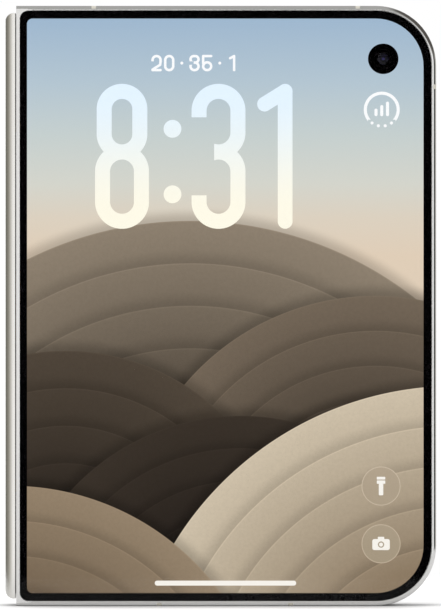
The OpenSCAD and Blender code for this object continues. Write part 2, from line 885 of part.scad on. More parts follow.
module camera_plateau() {
    mid_u = (cam_u[0] + cam_u[1]) / 2;
    color(silver) rear() translate([mid_u, cam_z, 0]) difference() {
        union() {
            translate([0, 0, face_h]) plateau_top();
            layer(glass_h0 - 0.25, face_h) stadium(plateau_l, plateau_w);
            layer(glass_h0 - 0.25, glass_h0) stadium(plateau_l + 2, plateau_w + 2);
        }
        for (u = cam_u) translate([u - mid_u, 0, 0]) cylinder(h = 12, r = lens_r - 0.9);
        translate([0, 5.5, 0]) cylinder(h = 12, r = 1.6);
        translate([0, -5.5, 0]) cylinder(h = 12, r = 0.5);
    }
}

module camera_rings() {
    top = face_h + plateau_h;
    color("#c9c8c2") rear() for (u = cam_u) translate([u, cam_z, top]) difference() {
        union() {
            cylinder(h = lens_h - 0.3, r = lens_r);
            translate([0, 0, lens_h - 0.3]) cylinder(h = 0.3, r1 = lens_r, r2 = lens_r - 0.3);
        }
        translate([0, 0, -1]) cylinder(h = 4, r = lens_r - 0.9);
    }
}

module camera_lenses() {
    color([0.03, 0.03, 0.05, 0.6]) rear() for (u = cam_u)
        translate([u, cam_z, face_h + plateau_h + lens_h - 0.75])
            cylinder(h = 0.6, r = lens_r - 0.95);
}

module camera_modules() {
    color("#26272a") rear() for (u = cam_u) translate([u, cam_z, 0]) {
        difference() {
            translate([0, 0, bay_h0]) linear_extrude(glass_h0 - 0.3 - bay_h0)
                square(2 * lens_r - 2.6, center = true);
        }
        cylinder_on(glass_h0 - 0.31, face_h + plateau_h + lens_h - 1.6, lens_r - 2);
        difference() {
            cylinder_on(face_h + plateau_h + lens_h - 1.7, face_h + plateau_h + lens_h - 0.9, lens_r - 2);
            cylinder_on(face_h + plateau_h + lens_h - 1.4, face_h + plateau_h + lens_h, 2.6);
        }
    }
}

module cylinder_on(h0, h1, r) {
    translate([0, 0, h0]) cylinder(h = h1 - h0, r = r);
}

module flash() {
    color("#f4ecc8") rear() translate([(cam_u[0] + cam_u[1]) / 2, cam_z + 5.5, 0]) {
        cylinder_on(glass_h0 - 0.25, face_h + plateau_h - 0.05, 1.55);
    }
}

// ---------- inside the rear half ----------

module rear_battery() {
    color("#33363b") rear()
        box(battery_u[0], battery_u[1], battery_z0[0], battery_z1[0], bay_h0, bay_h1);
}

module charging_coil() {
    color("#b0713a") rear() translate([half_w / 2 + 4, (battery_z0[0] + battery_z1[0]) / 2, bay_h1 + 0.03])
        linear_extrude(0.3) ring_2d(13, 22);
}

module main_board() {
    color("#1e4a35") rear() difference() {
        box(bay_u0, cam_u[1] - 9, board_z0[0], phone_h - 4, bay_h0, board_h1);
        translate([bay_u0 + 3, board_z0[0] + 3, 0]) cylinder(h = 4, r = 0.8);
        translate([cam_u[1] - 12, phone_h - 7, 0]) cylinder(h = 4, r = 0.8);
    }
}

module board_shields() {
    split = board_z0[0] + 17;
    color("#a9aaac") rear() {
        box(bay_u0 + 5, cam_u[1] - 14, board_z0[0] + 4, split - 1, board_h1, board_h1 + 1.2);
        box(bay_u0 + 2, bay_u0 + 13, split + 1, phone_h - 6, board_h1, board_h1 + 1);
        box(bay_u0 + 15, cam_u[1] - 14, split + 1, phone_h - 8, board_h1, board_h1 + 0.9);
    }
}

module charging_port() {
    l = 7;
    color("#9a9b9d") rear() translate([port_u, wall, port_h]) rotate([-90, 0, 0]) difference() {
        linear_extrude(l) stadium(port_w + 2 * port_skin, port_t + 2 * port_skin);
        translate([0, 0, -1]) linear_extrude(l + 1 - port_skin) stadium(port_w, port_t);
    }
}

module port_tongue() {
    color(dark) rear() translate([port_u - 3.35, wall + 0.7, port_h - 0.35])
        cube([6.7, 6, 0.7]);
}

module loudspeaker() {
    color("#2b2c2f") rear() difference() {
        box(port_u + 12, port_u + 30, wall + 0.1, 14, bay_h0, room_h1);
        for (u = speaker_u) translate([u, 0, port_h])
            rotate([-90, 0, 0]) cylinder(h = 4, r = hole_r);
    }
}

module haptic_motor() {
    color("#77787a") rear() box(14.5, 31, 5, 13, bay_h0, 3.9);
}

module magnets() {
    for (z = [[18, 30], [power_z - 24, power_z - 12]])
        box(room_u1 - 1.4, room_u1 - 0.1, z[0], z[1], bay_h0, 3);
}

module magnets_rear() {
    color("#8c8d90") rear() magnets();
}

module magnets_front() {
    color("#8c8d90") front() magnets();
}

module bottom_screws() {
    color("#9b9c9f") rear() for (u = screw_u) translate([u, 0.12, port_h])
        rotate([-90, 0, 0]) difference() {
            cylinder(h = 4, r = screw_r);
            for (a = [0, 90]) rotate(a) translate([-0.5, -0.1, -0.5]) cube([1, 0.2, 0.8]);
        }
}

module antenna_bands_rear() {
    rear() antenna_bands();
}

module antenna_bands_front() {
    front() antenna_bands();
}

// ---------- inside the front half ----------

inner_cam_u = half_w - 26;
inner_cam_z = phone_h - 8;
inner_cam_r = 2.4;

module cover_camera() {
    color("#17181c") front() translate([cover_cam_u, cover_cam_z, 0]) {
        cylinder_on(bay_h0 + 1, glass_h0 - 0.05, hole_d / 2 - 0.1);
        translate([0, 0, bay_h0]) linear_extrude(1) square(6.6, center = true);
    }
}

module inner_camera() {
    color("#17181c") front() translate([inner_cam_u, inner_cam_z, 0]) {
        cylinder_on(frame_gap + 0.05, plate_h0 + 0.1, 1.6);
        cylinder_on(plate_h0 + 0.02, bay_h0 + 1.2, inner_cam_r);
    }
}

module front_battery() {
    color("#33363b") front()
        box(battery_u[0], battery_u[1], battery_z0[1], battery_z1[1], bay_h0, 3.4);
}

module front_board() {
    z0 = board_z0[1];
    color("#1e4a35") front() difference() {
        box(bay_u0, inner_cam_u - 5, z0, phone_h - 6, bay_h0, board_h1);
        translate([bay_u0 + 3, z0 + 3, 0]) cylinder(h = 4, r = 0.8);
    }
    color("#a9aaac") front()
        box(bay_u0 + 7, inner_cam_u - 14, z0 + 3, z0 + 13, board_h1, board_h1 + 0.9);
}

module earpiece() {
    color("#2b2c2f") front() difference() {
        box(half_w / 2 - 7, half_w / 2 + 7, phone_h - wall - 4, phone_h - wall - 0.1, bay_h0 + 0.1, 3.4);
        translate([half_w / 2, phone_h - wall - 2, port_h]) rotate([-90, 0, 0])
            linear_extrude(3) stadium(11, 0.9);
    }
}

rear_frame();
rear_mid_plate();
rear_glass();
camera_plateau();
camera_rings();
camera_lenses();
camera_modules();
flash();
rear_battery();
main_board();
board_shields();
charging_coil();
charging_port();
port_tongue();
loudspeaker();
haptic_motor();
button_switches();
magnets_rear();
screen_rim_rear();
rim_bumpers();
inner_screen_rear();
rotors_rear();
sync_guides_rear();
hinge_screws_rear();
bottom_screws();
antenna_bands_rear();
power_button();
volume_up_button();
volume_down_button();
spine_cover();
hinge_bracket_upper();
hinge_bracket_lower();
gear_pins();
inner_screen_fold();
hinge_flex();
wing_plate_rear();
wing_plate_front();
sync_arms_rear();
sync_arms_front();
idler_gears_rear();
idler_gears_front();
front_frame();
front_mid_plate();
cover_glass();
cover_screen();
cover_camera();
front_battery();
front_board();
earpiece();
magnets_front();
screen_rim_front();
inner_screen_front();
inner_camera();
rotors_front();
sync_guides_front();
hinge_screws_front();
antenna_bands_front();
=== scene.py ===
import math

import bmesh
import bpy
from mathutils import Matrix, Vector


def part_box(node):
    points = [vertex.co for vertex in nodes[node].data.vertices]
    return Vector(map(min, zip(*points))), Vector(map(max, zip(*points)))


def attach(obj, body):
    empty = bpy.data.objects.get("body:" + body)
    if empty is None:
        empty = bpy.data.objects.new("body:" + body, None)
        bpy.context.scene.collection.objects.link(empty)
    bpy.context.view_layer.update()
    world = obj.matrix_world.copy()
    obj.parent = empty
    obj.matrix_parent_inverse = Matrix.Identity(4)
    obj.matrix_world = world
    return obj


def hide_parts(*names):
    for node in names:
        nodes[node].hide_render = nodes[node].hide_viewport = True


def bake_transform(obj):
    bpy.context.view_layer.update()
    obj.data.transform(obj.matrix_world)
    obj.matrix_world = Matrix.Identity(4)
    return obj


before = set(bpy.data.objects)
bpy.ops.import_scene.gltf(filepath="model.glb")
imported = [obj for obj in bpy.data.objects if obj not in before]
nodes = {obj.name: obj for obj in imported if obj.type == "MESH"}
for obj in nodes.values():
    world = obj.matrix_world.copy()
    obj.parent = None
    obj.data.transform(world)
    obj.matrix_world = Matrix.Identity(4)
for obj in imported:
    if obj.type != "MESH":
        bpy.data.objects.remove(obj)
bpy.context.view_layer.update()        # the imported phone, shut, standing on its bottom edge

mm = 0.001
weld = 1e-7              # points closer than this, in metres, become one
white = (1, 1, 1, 1)
scene = bpy.context.scene
scene.view_settings.view_transform = "Standard"
print("frame loaded:", len(nodes), "CAD nodes")

# where the faces and edges of the two halves are
glassLow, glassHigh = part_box("cover_glass")
screenLow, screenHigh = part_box("cover_screen")
flatLow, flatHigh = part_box("inner_screen_rear")
innerY = glassHigh.y     # the cover glass's inner face


def linear(r, g, b):                 # a colour written as 0-255 screen values
    def one(v):
        v = v / 255
        return v / 12.92 if v <= 0.04045 else ((v + 0.055) / 1.055) ** 2.4
    return (one(r), one(g), one(b), 1.0)


def makePiece(name, bm, material, body, smooth=False, sharpAngle=30):
    bmesh.ops.remove_doubles(bm, verts=bm.verts, dist=weld)
    bmesh.ops.recalc_face_normals(bm, faces=bm.faces)
    mesh = bpy.data.meshes.new(name)
    for face in bm.faces:
        face.smooth = smooth
    if smooth:
        for edge in bm.edges:
            if len(edge.link_faces) == 2 and edge.calc_face_angle(0) > math.radians(sharpAngle):
                edge.smooth = False
    bm.to_mesh(mesh)
    bm.free()
    piece = bpy.data.objects.new(name, mesh)
    scene.collection.objects.link(piece)
    mesh.materials.append(material)
    if body:
        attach(piece, body)
    return piece


def thicken(bm, depth):              # flat faces in X and Z get a thickness along Y
    grown = bmesh.ops.extrude_face_region(bm, geom=bm.faces[:])
    moved = [g for g in grown["geom"] if isinstance(g, bmesh.types.BMVert)]
    bmesh.ops.translate(bm, verts=moved, vec=(0, depth, 0))
    bmesh.ops.recalc_face_normals(bm, faces=bm.faces)


def flatRect(bm, x0, x1, z0, z1, y, leftRadius=0, rightRadius=0, segments=14):
    made = bmesh.ops.create_grid(bm, x_segments=1, y_segments=1, size=0.5)["verts"]
    place = (Matrix.Translation(((x0 + x1) / 2, y, (z0 + z1) / 2))
             @ Matrix.Rotation(math.pi / 2, 4, "X")
             @ Matrix.Diagonal((x1 - x0, z1 - z0, 1, 1)))
    bmesh.ops.transform(bm, matrix=place, verts=made)
    middle = (x0 + x1) / 2
    left = [v for v in made if v.co.x < middle]
    right = [v for v in made if v.co.x >= middle]
    for corners, radius in ((left, leftRadius), (right, rightRadius)):
        if radius > 0:
            bmesh.ops.bevel(bm, geom=corners, offset=radius, offset_type="OFFSET",
                            affect="VERTICES", segments=segments, profile=0.5, material=-1)


def stadium(bm, cx, cz, width, height, y, stroke=None, segments=24):
    radius = min(width, height) / 2
    made = bmesh.ops.create_circle(bm, cap_ends=True, radius=radius,
                                   segments=2 * segments)["verts"]
    bmesh.ops.transform(bm, matrix=Matrix.Rotation(math.pi / 2, 4, "X")
                        @ Matrix.Rotation(math.pi / (2 * segments), 4, "Z"), verts=made)
    for axis, extra in ((0, width / 2 - radius), (2, height / 2 - radius)):
        for v in made:
            v.co[axis] += math.copysign(extra, v.co[axis])
    bmesh.ops.translate(bm, verts=made, vec=(cx, y, cz))
    face = next(f for f in bm.faces if all(v in made for v in f.verts))
    if stroke:                       # an outline of this width is left of the filled shape
        bm.normal_update()
        bmesh.ops.inset_region(bm, faces=[face], thickness=stroke, use_even_offset=True,
                               use_boundary=True)
        bmesh.ops.delete(bm, geom=[face], context="FACES")


def addTo(bm, other):
    mesh = bpy.data.meshes.new("joined")
    other.to_mesh(mesh)
    other.free()
    bm.from_mesh(mesh)
    bpy.data.meshes.remove(mesh)


def bar(bm, x0, z0, x1, z1, width, y):       # a straight stroke with round ends
    length = math.hypot(x1 - x0, z1 - z0)
    line = bmesh.new()
    stadium(line, 0, 0, length + width, width, 0, segments=8)
    angle = math.atan2(z1 - z0, x1 - x0)
    middle = Matrix.Translation(((x0 + x1) / 2, y, (z0 + z1) / 2))
    bmesh.ops.transform(line, verts=line.verts, matrix=middle @ Matrix.Rotation(-angle, 4, "Y"))
    addTo(bm, line)


def cutAway(bm, x0, x1, z0, z1):     # removes a box-shaped bite from flat strokes
    for point, normal in (((x0, 0, 0), (1, 0, 0)), ((x1, 0, 0), (1, 0, 0)),
                          ((0, 0, z0), (0, 0, 1)), ((0, 0, z1), (0, 0, 1))):
        bmesh.ops.bisect_plane(bm, geom=bm.verts[:] + bm.edges[:] + bm.faces[:],
                               plane_co=point, plane_no=normal)
    gone = [f for f in bm.faces
            if x0 < f.calc_center_median().x < x1 and z0 < f.calc_center_median().z < z1]
    bmesh.ops.delete(bm, geom=gone, context="FACES")


def turned(bm, profile, centre, steps=64):   # profile of (radius, y) points, spun round Y
    made = [bm.verts.new((centre[0] + r * mm, y, centre[1])) for r, y in profile]
    edges = [bm.edges.new((a, b)) for a, b in zip(made, made[1:])]
    bmesh.ops.spin(bm, geom=made + edges, cent=(centre[0], 0, centre[1]), axis=(0, 1, 0),
                   angle=2 * math.pi, steps=steps, use_merge=True, use_duplicate=False)
    bmesh.ops.remove_doubles(bm, verts=bm.verts, dist=weld)
    bmesh.ops.recalc_face_normals(bm, faces=bm.faces)


domeArc = [math.radians(15 * k) for k in range(7)]   # from a dome's foot to its top


class Shader:                        # short words for the nodes of a material or a group
    def __init__(self, tree):
        self.tree = tree
        self.objectPoint = None

    def node(self, kind, values=None, **settings):
        made = self.tree.nodes.new(kind)
        for key, value in settings.items():
            setattr(made, key, value)
        for key, value in (values or {}).items():
            self.put(made.inputs[key], value)
        return made

    def put(self, socket, value):
        if isinstance(value, bpy.types.NodeSocket):
            self.tree.links.new(value, socket)
        elif value is not None:
            socket.default_value = value

    def math(self, operation, a, b=None, c=None):
        made = self.node("ShaderNodeMath", operation=operation)
        for index, value in enumerate((a, b, c)):
            self.put(made.inputs[index], value)
        return made.outputs[0]

    def vectorMath(self, operation, a, b):
        made = self.node("ShaderNodeVectorMath", operation=operation)
        self.put(made.inputs[0], a)
        self.put(made.inputs[1], b)
        return made.outputs

    def mix(self, factor, a, b, blend="MIX"):
        made = self.node("ShaderNodeMix", data_type="RGBA", blend_type=blend)
        for index, value in ((0, factor), (6, a), (7, b)):
            self.put(made.inputs[index], value)
        return made.outputs[2]

    def steps(self, value, low, high, outLow=0.0, outHigh=1.0, smooth=True):
        made = self.node("ShaderNodeMapRange", clamp=True,
                         interpolation_type="SMOOTHSTEP" if smooth else "LINEAR")
        for index, item in enumerate((value, low, high, outLow, outHigh)):
            self.put(made.inputs[index], item)
        return made.outputs[0]

    def point(self):                 # Object coordinates, in metres
        if self.objectPoint is None:
            self.objectPoint = self.node("ShaderNodeTexCoord").outputs["Object"]
        return self.objectPoint

    def parts(self, vector):         # X, Y and Z of a vector
        return self.node("ShaderNodeSeparateXYZ", {"Vector": vector}).outputs

    def facing(self):                # the piece's own normal, along Y
        return self.parts(self.node("ShaderNodeTexCoord").outputs["Normal"])["Y"]

    def stretched(self, scale, turn):
        return self.node("ShaderNodeMapping", {"Vector": self.point(), "Scale": scale,
                                               "Rotation": turn}).outputs[0]

    def noise(self, scale, vector=None, detail=2.0, roughness=0.5, distortion=0.0):
        return self.node("ShaderNodeTexNoise", {
            "Vector": vector or self.point(), "Scale": scale, "Detail": detail,
            "Roughness": roughness, "Distortion": distortion}).outputs[0]

    def ramp(self, value, stops):
        made = self.node("ShaderNodeValToRGB", {"Fac": value})
        while len(made.color_ramp.elements) < len(stops):
            made.color_ramp.elements.new(1.0)
        for element, (place, colour) in zip(made.color_ramp.elements, stops):
            element.position = place
            element.color = colour
        return made.outputs[0]

    def group(self, name, **values):
        made = self.node("ShaderNodeGroup", node_tree=effects[name])
        for key, value in values.items():
            self.put(made.inputs[key], value)
        return made.outputs


effects = {}


def newEffect(name, inputs, outputs):
    tree = bpy.data.node_groups.new(name, "ShaderNodeTree")
    for label, kind, value in inputs:
        socket = tree.interface.new_socket(label, in_out="INPUT", socket_type=kind)
        socket.default_value = value
    for label, kind in outputs:
        tree.interface.new_socket(label, in_out="OUTPUT", socket_type=kind)
    effects[name] = tree
    shader = Shader(tree)
    return shader, shader.node("NodeGroupInput").outputs, shader.node("NodeGroupOutput").inputs


numberSocket = "NodeSocketFloat"
colourSocket = "NodeSocketColor"
vectorSocket = "NodeSocketVector"

# fine scratches and handling marks: a roughness that changes, and a height for Bump
grainLook = {"cloudScale": 90.0, "cloudShare": 0.5, "range": (0.35, 0.65)}
s, i, o = newEffect("fineGrain", [
    ("Stretch", vectorSocket, (1, 1, 1)), ("Scale", numberSocket, 4000.0),
    ("Low", numberSocket, 0.2), ("High", numberSocket, 0.3)],
    [("Roughness", numberSocket), ("Height", numberSocket)])
place = s.vectorMath("MULTIPLY", s.point(), i["Stretch"])[0]
grain = s.noise(i["Scale"], place, detail=3, roughness=0.6)
clouds = s.noise(grainLook["cloudScale"], detail=3)
both = s.math("MULTIPLY_ADD", clouds, grainLook["cloudShare"],
              s.math("MULTIPLY", grain, 1 - grainLook["cloudShare"]))
s.put(o["Roughness"], s.steps(both, *grainLook["range"], i["Low"], i["High"]))
s.put(o["Height"], grain)

# softened corners and the brighter line that wear leaves on them
wearLook = {"corner": (0.99, 0.85), "patchScale": 600.0, "patches": (0.4, 0.65), "bump": 0.25}
s, i, o = newEffect("edgeWear", [
    ("Radius", numberSocket, 0.00006), ("Height", numberSocket, 0.5),
    ("Depth", numberSocket, 0.00001)],
    [("Normal", vectorSocket), ("Wear", numberSocket)])
rounded = s.node("ShaderNodeBevel", {"Radius": i["Radius"]}, samples=4).outputs[0]
flat = s.node("ShaderNodeNewGeometry").outputs["Normal"]
straight = s.vectorMath("DOT_PRODUCT", rounded, flat)["Value"]
worn = s.steps(straight, *wearLook["corner"])
patches = s.steps(s.noise(wearLook["patchScale"], detail=4, roughness=0.7), *wearLook["patches"])
s.put(o["Wear"], s.math("MULTIPLY", worn, patches))
bump = s.node("ShaderNodeBump", {"Strength": wearLook["bump"], "Distance": i["Depth"],
                                 "Height": i["Height"], "Normal": rounded})
s.put(o["Normal"], bump.outputs[0])

# finger marks and dust on glass: a little roughness in soft patches
marksLook = {"smearScale": 35.0, "stretch": (1.0, 1.0, 1.8), "turn": (0, 0.6, 0),
             "smears": (0.5, 0.75), "dustScale": 5200.0, "dust": (0.74, 0.82)}
s, i, o = newEffect("glassMarks", [
    ("Clean", numberSocket, 0.03), ("Marked", numberSocket, 0.1)],
    [("Roughness", numberSocket), ("Dust", numberSocket)])
smear = s.noise(marksLook["smearScale"], s.stretched(marksLook["stretch"], marksLook["turn"]),
                detail=5, roughness=0.6, distortion=0.8)
s.put(o["Roughness"], s.steps(smear, *marksLook["smears"], i["Clean"], i["Marked"]))
s.put(o["Dust"], s.steps(s.noise(marksLook["dustScale"], detail=1), *marksLook["dust"]))

# tiny mottling of moulded or painted surfaces
wideScale = 60.0
s, i, o = newEffect("mottle", [
    ("Colour", colourSocket, (0.5, 0.5, 0.5, 1)), ("Scale", numberSocket, 900.0),
    ("Amount", numberSocket, 0.1)],
    [("Colour", colourSocket), ("Height", numberSocket)])
speck = s.noise(i["Scale"], detail=4, roughness=0.65)
wide = s.noise(wideScale, detail=2)
level = s.math("MULTIPLY_ADD", s.math("SUBTRACT", s.math("ADD", speck, wide), 1.0),
               i["Amount"], 1.0)
shade = s.node("ShaderNodeHueSaturation", {"Color": i["Colour"], "Value": level})
s.put(o["Colour"], shade.outputs[0])
s.put(o["Height"], speck)
print("effects built:", len(effects))


def newMaterial(name, **sockets):
    material = bpy.data.materials.new(name)
    material.use_nodes = True
    shader = Shader(material.node_tree)
    body = material.node_tree.nodes["Principled BSDF"]
    for key, value in sockets.items():
        body.inputs[key.replace("_", " ")].default_value = value
    return material, shader, body.inputs


# a long lens at the photograph's distance, and cards that only gloss and glass see
oliveSide, darkSide = linear(116, 115, 107), linear(38, 38, 37)
studio = {
    "lens": 400.6, "sensorHeight": 36, "distance": 1.3664, "eyeHeight": 0.05996, "clipEnd": 20,
    "fill": 0.78,                    # the room's light on matt surfaces
    # degrees round the phone from its cover screen, and the card's colour there
    "cards": [(-180, white), (-154, white), (-146, oliveSide), (-128, oliveSide),
              (-101, linear(152, 149, 140)), (-81, linear(200, 198, 192)), (-60, white),
              (42, white), (50, darkSide), (84, darkSide), (90, linear(172, 171, 167)),
              (150, linear(192, 191, 187)), (164, white)],
    "topCard": linear(174, 174, 172), "topRise": (0.14, 0.28),
    "cornerCard": linear(84, 80, 76), "cornerAcross": (0.16, 0.4), "cornerRise": (0.1, 0.3),
    "endCard": (0.004, 0.004, 0.005, 1), "endCardAngle": 4.2, "endCardSoft": (0.0015, 0.004)}

cameraData = bpy.data.cameras.new("camera")
cameraData.lens = studio["lens"]
cameraData.sensor_fit = "VERTICAL"
cameraData.sensor_height = studio["sensorHeight"]
cameraData.clip_end = studio["clipEnd"]
camera = bpy.data.objects.new("camera", cameraData)
camera.location = (0, -studio["distance"], studio["eyeHeight"])
camera.rotation_euler = (math.pi / 2, 0, 0)
scene.collection.objects.link(camera)
scene.camera = camera

world = bpy.data.worlds.new("studio")
scene.world = world
world.use_nodes = True
s = Shader(world.node_tree)
background = world.node_tree.nodes["Background"]
axes = s.parts(s.node("ShaderNodeTexCoord").outputs["Generated"])
toCamera = s.math("MULTIPLY", axes["Y"], -1.0)
azimuth = s.math("ARCTAN2", axes["X"], toCamera)
share = s.math("MULTIPLY_ADD", azimuth, 1 / (2 * math.pi), 0.5)
cards = s.ramp(share, [(0.5 + degrees / 360, colour) for degrees, colour in studio["cards"]])
cards = s.mix(s.steps(axes["Z"], *studio["topRise"]), cards, studio["topCard"])
corner = s.math("MULTIPLY", s.steps(axes["X"], *studio["cornerAcross"]),
                s.steps(axes["Z"], *studio["cornerRise"]))
cards = s.mix(corner, cards, studio["cornerCard"])
cardEdge = math.cos(math.radians(studio["endCardAngle"]))    # small dark cards before and behind
frontSoft, backSoft = studio["endCardSoft"]
dark = s.math("MAXIMUM", s.steps(toCamera, cardEdge - frontSoft, cardEdge),
              s.steps(axes["Y"], cardEdge - backSoft, cardEdge))
cards = s.mix(dark, cards, studio["endCard"])
rays = s.node("ShaderNodeLightPath").outputs
mirrored = s.math("MAXIMUM", rays["Is Glossy Ray"], rays["Is Transmission Ray"])
lit = s.mix(mirrored, (studio["fill"],) * 3 + (1,), cards)
s.put(background.inputs["Color"], s.mix(rays["Is Camera Ray"], lit, white))

# soft lamps, aimed at the phone's middle
lampAim = Vector((0, 0, 0.06))
lamps = {"keyLamp": {"place": (-0.7, -0.9, 1.1), "side": 0.9, "power": 7.5},
         "sideLamp": {"place": (0.9, -0.3, 0.7), "side": 0.7, "power": 2.4},
         "backLamp": {"place": (0.3, 1.1, 0.9), "side": 0.9, "power": 2.4}}
for name, lampValues in lamps.items():
    data = bpy.data.lights.new(name, "AREA")
    data.shape = "RECTANGLE"
    data.size = data.size_y = lampValues["side"]
    data.energy = lampValues["power"]
    lamp = bpy.data.objects.new(name, data)
    lamp.location = lampValues["place"]
    aim = lampAim - Vector(lampValues["place"])
    lamp.rotation_euler = aim.to_track_quat("-Z", "Y").to_euler()
    lamp.visible_camera = False
    lamp.visible_glossy = False
    scene.collection.objects.link(lamp)

# the floor glows in the camera's rays, less in gloss and glass, and the glow fades at the phone's
# foot by ambient occlusion, a painted contact shadow
floorLook = {"half": 0.14, "drop": 0.03, "colour": (0.62, 0.62, 0.62, 1), "glow": 0.56,
             "paintedGlint": 0.08, "contact": 0.02, "openness": (0.5, 1.0)}
material, s, body = newMaterial("paleFloor", Roughness=0.9)
paper = s.group("mottle", Colour=floorLook["colour"], Scale=400.0, Amount=0.02)
s.put(body["Base Color"], paper["Colour"])
s.put(body["Emission Color"], white)
rays = s.node("ShaderNodeLightPath").outputs
mirrored = s.math("MAXIMUM", rays["Is Glossy Ray"], rays["Is Transmission Ray"])
glow = s.math("MULTIPLY_ADD", rays["Is Camera Ray"], floorLook["glow"],
              s.math("MULTIPLY", mirrored, floorLook["paintedGlint"]))
# ambient occlusion near the phone lowers the glow: a painted contact shadow
near = s.node("ShaderNodeAmbientOcclusion", {"Distance": floorLook["contact"]}, samples=12)
paintedContactShadow = s.steps(near.outputs["AO"], *floorLook["openness"])
s.put(body["Emission Strength"], s.math("MULTIPLY", glow, paintedContactShadow))
bm = bmesh.new()
bmesh.ops.create_grid(bm, x_segments=2, y_segments=2, size=floorLook["half"],
                      matrix=Matrix.Translation((0, 0, -floorLook["drop"] * mm)))
floor = makePiece("floor", bm, material, None)
print("studio ready")


# metals, plastics and paints of the phone
metalLook = {"wearDepth": 0.000004, "toneScale": 1500.0, "tone": 0.05}
plasticLook = {"scale": 1800.0, "tone": 0.1, "wearRadius": 0.00005, "wearDepth": 0.00001,
               "wornGain": 1.5, "wornLift": 0.02}


def metalFinish(name, colour, low, high, stretch=(1, 1, 1), scale=4000.0, wornColour=None):
    material, s, body = newMaterial(name, Metallic=1.0)
    grain = s.group("fineGrain", Stretch=stretch, Scale=scale, Low=low, High=high)
    edge = s.group("edgeWear", Height=grain["Height"], Depth=metalLook["wearDepth"])
    tone = s.group("mottle", Colour=colour, Scale=metalLook["toneScale"], Amount=metalLook["tone"])
    s.put(body["Base Color"], s.mix(edge["Wear"], tone["Colour"], wornColour or colour))
    s.put(body["Roughness"], grain["Roughness"])
    s.put(body["Normal"], edge["Normal"])
    return material


def plasticFinish(name, colour, low, high, **sockets):
    material, s, body = newMaterial(name, **sockets)
    scale = plasticLook["scale"]
    tone = s.group("mottle", Colour=colour, Scale=scale, Amount=plasticLook["tone"])
    grain = s.group("fineGrain", Scale=scale, Low=low, High=high)
    edge = s.group("edgeWear", Radius=plasticLook["wearRadius"], Height=tone["Height"],
                   Depth=plasticLook["wearDepth"])
    worn = tuple(min(1, c * plasticLook["wornGain"] + plasticLook["wornLift"])
                 for c in colour[:3]) + (1,)
    s.put(body["Base Color"], s.mix(edge["Wear"], tone["Colour"], worn))
    s.put(body["Roughness"], grain["Roughness"])
    s.put(body["Normal"], edge["Normal"])
    return material


def blackPaint(name, low, high, **sockets):
    material, s, body = newMaterial(name, **sockets)
    tone = s.group("mottle", Colour=linear(9, 8, 9), Scale=900.0, Amount=0.3)
    grain = s.group("fineGrain", Scale=2500.0, Low=low, High=high)
    s.put(body["Base Color"], tone["Colour"])
    s.put(body["Roughness"], grain["Roughness"])
    return material


# the frame is polished all round, and satin on the lip beside the fold, in mm from the glass
lipLook = {"facing": (0.985, 0.998), "width": (2.6, 2.0), "roughness": 0.28,
           "colour": (0.97, 0.965, 0.95, 1)}
framePolish, s, body = newMaterial("polishedFrame", Metallic=1.0)
grain = s.group("fineGrain", Scale=5000.0, Low=0.1, High=0.18)
edge = s.group("edgeWear", Height=grain["Height"], Depth=metalLook["wearDepth"])
tone = s.group("mottle", Colour=(0.86, 0.855, 0.84, 1), Scale=metalLook["toneScale"], Amount=0.04)
lipFrom, lipTo = (glassLow.x + width * mm for width in lipLook["width"])
lip = s.math("MULTIPLY", s.steps(s.math("ABSOLUTE", s.facing()), *lipLook["facing"]),
             s.steps(s.parts(s.point())["X"], lipFrom, lipTo))
s.put(body["Base Color"], s.mix(lip, tone["Colour"], lipLook["colour"]))
s.put(body["Roughness"], s.math("MULTIPLY_ADD", lip, lipLook["roughness"], grain["Roughness"]))
s.put(body["Normal"], edge["Normal"])

spinePolish = metalFinish("polishedSpine", (0.83, 0.815, 0.78, 1), 0.09, 0.17, (6, 6, 0.3), 2500.0,
                          wornColour=(0.93, 0.92, 0.9, 1))
ringPolish = metalFinish("turnedRing", (0.8, 0.79, 0.76, 1), 0.1, 0.22, (1, 6, 1), 4000.0)
plateMetal = metalFinish("stampedPlate", (0.46, 0.46, 0.47, 1), 0.3, 0.45, (1, 1, 0.15), 3000.0)
steel = metalFinish("groundSteel", (0.56, 0.56, 0.58, 1), 0.22, 0.36, (1, 1, 0.3), 5000.0)
gearSteel = metalFinish("gearBronze", (0.62, 0.47, 0.24, 1), 0.2, 0.34, (1, 1, 0.2), 5000.0)
screwSteel = metalFinish("screwSteel", (0.5, 0.49, 0.47, 1), 0.22, 0.34, (1, 1, 1), 6000.0)
shieldSteel = metalFinish("shieldSteel", (0.6, 0.6, 0.61, 1), 0.3, 0.42, (1, 1, 1), 2500.0)
copper = metalFinish("coilCopper", (0.78, 0.42, 0.26, 1), 0.25, 0.4, (1, 1, 1), 6000.0)
bandPlastic = plasticFinish("bandPlastic", linear(206, 202, 190), 0.3, 0.42,
                            Specular_IOR_Level=0.4)
rimPlastic = plasticFinish("rimPlastic", linear(24, 24, 26), 0.35, 0.5)
rubber = plasticFinish("bumperRubber", linear(34, 34, 36), 0.6, 0.75)
cameraBlack = plasticFinish("cameraBlack", linear(22, 22, 25), 0.3, 0.45)
boardGreen = plasticFinish("boardGreen", linear(26, 66, 46), 0.35, 0.5, Coat_Weight=0.4)
batteryWrap = plasticFinish("batteryWrap", linear(46, 48, 52), 0.4, 0.55)
magnetCoat = metalFinish("magnetCoat", (0.5, 0.5, 0.5, 1), 0.3, 0.4)
ribbon = plasticFinish("ribbonFilm", linear(150, 92, 30), 0.25, 0.35, Coat_Weight=0.5)
tongueBlack = plasticFinish("tongueBlack", linear(28, 28, 30), 0.4, 0.55)

# the border and the panel behind it show the gloss, so the clear glass itself mirrors little
inkBlack = blackPaint("inkBlack", 0.02, 0.06, IOR=1.2)
lensWell = blackPaint("lensWell", 0.35, 0.5, Specular_IOR_Level=0.0)

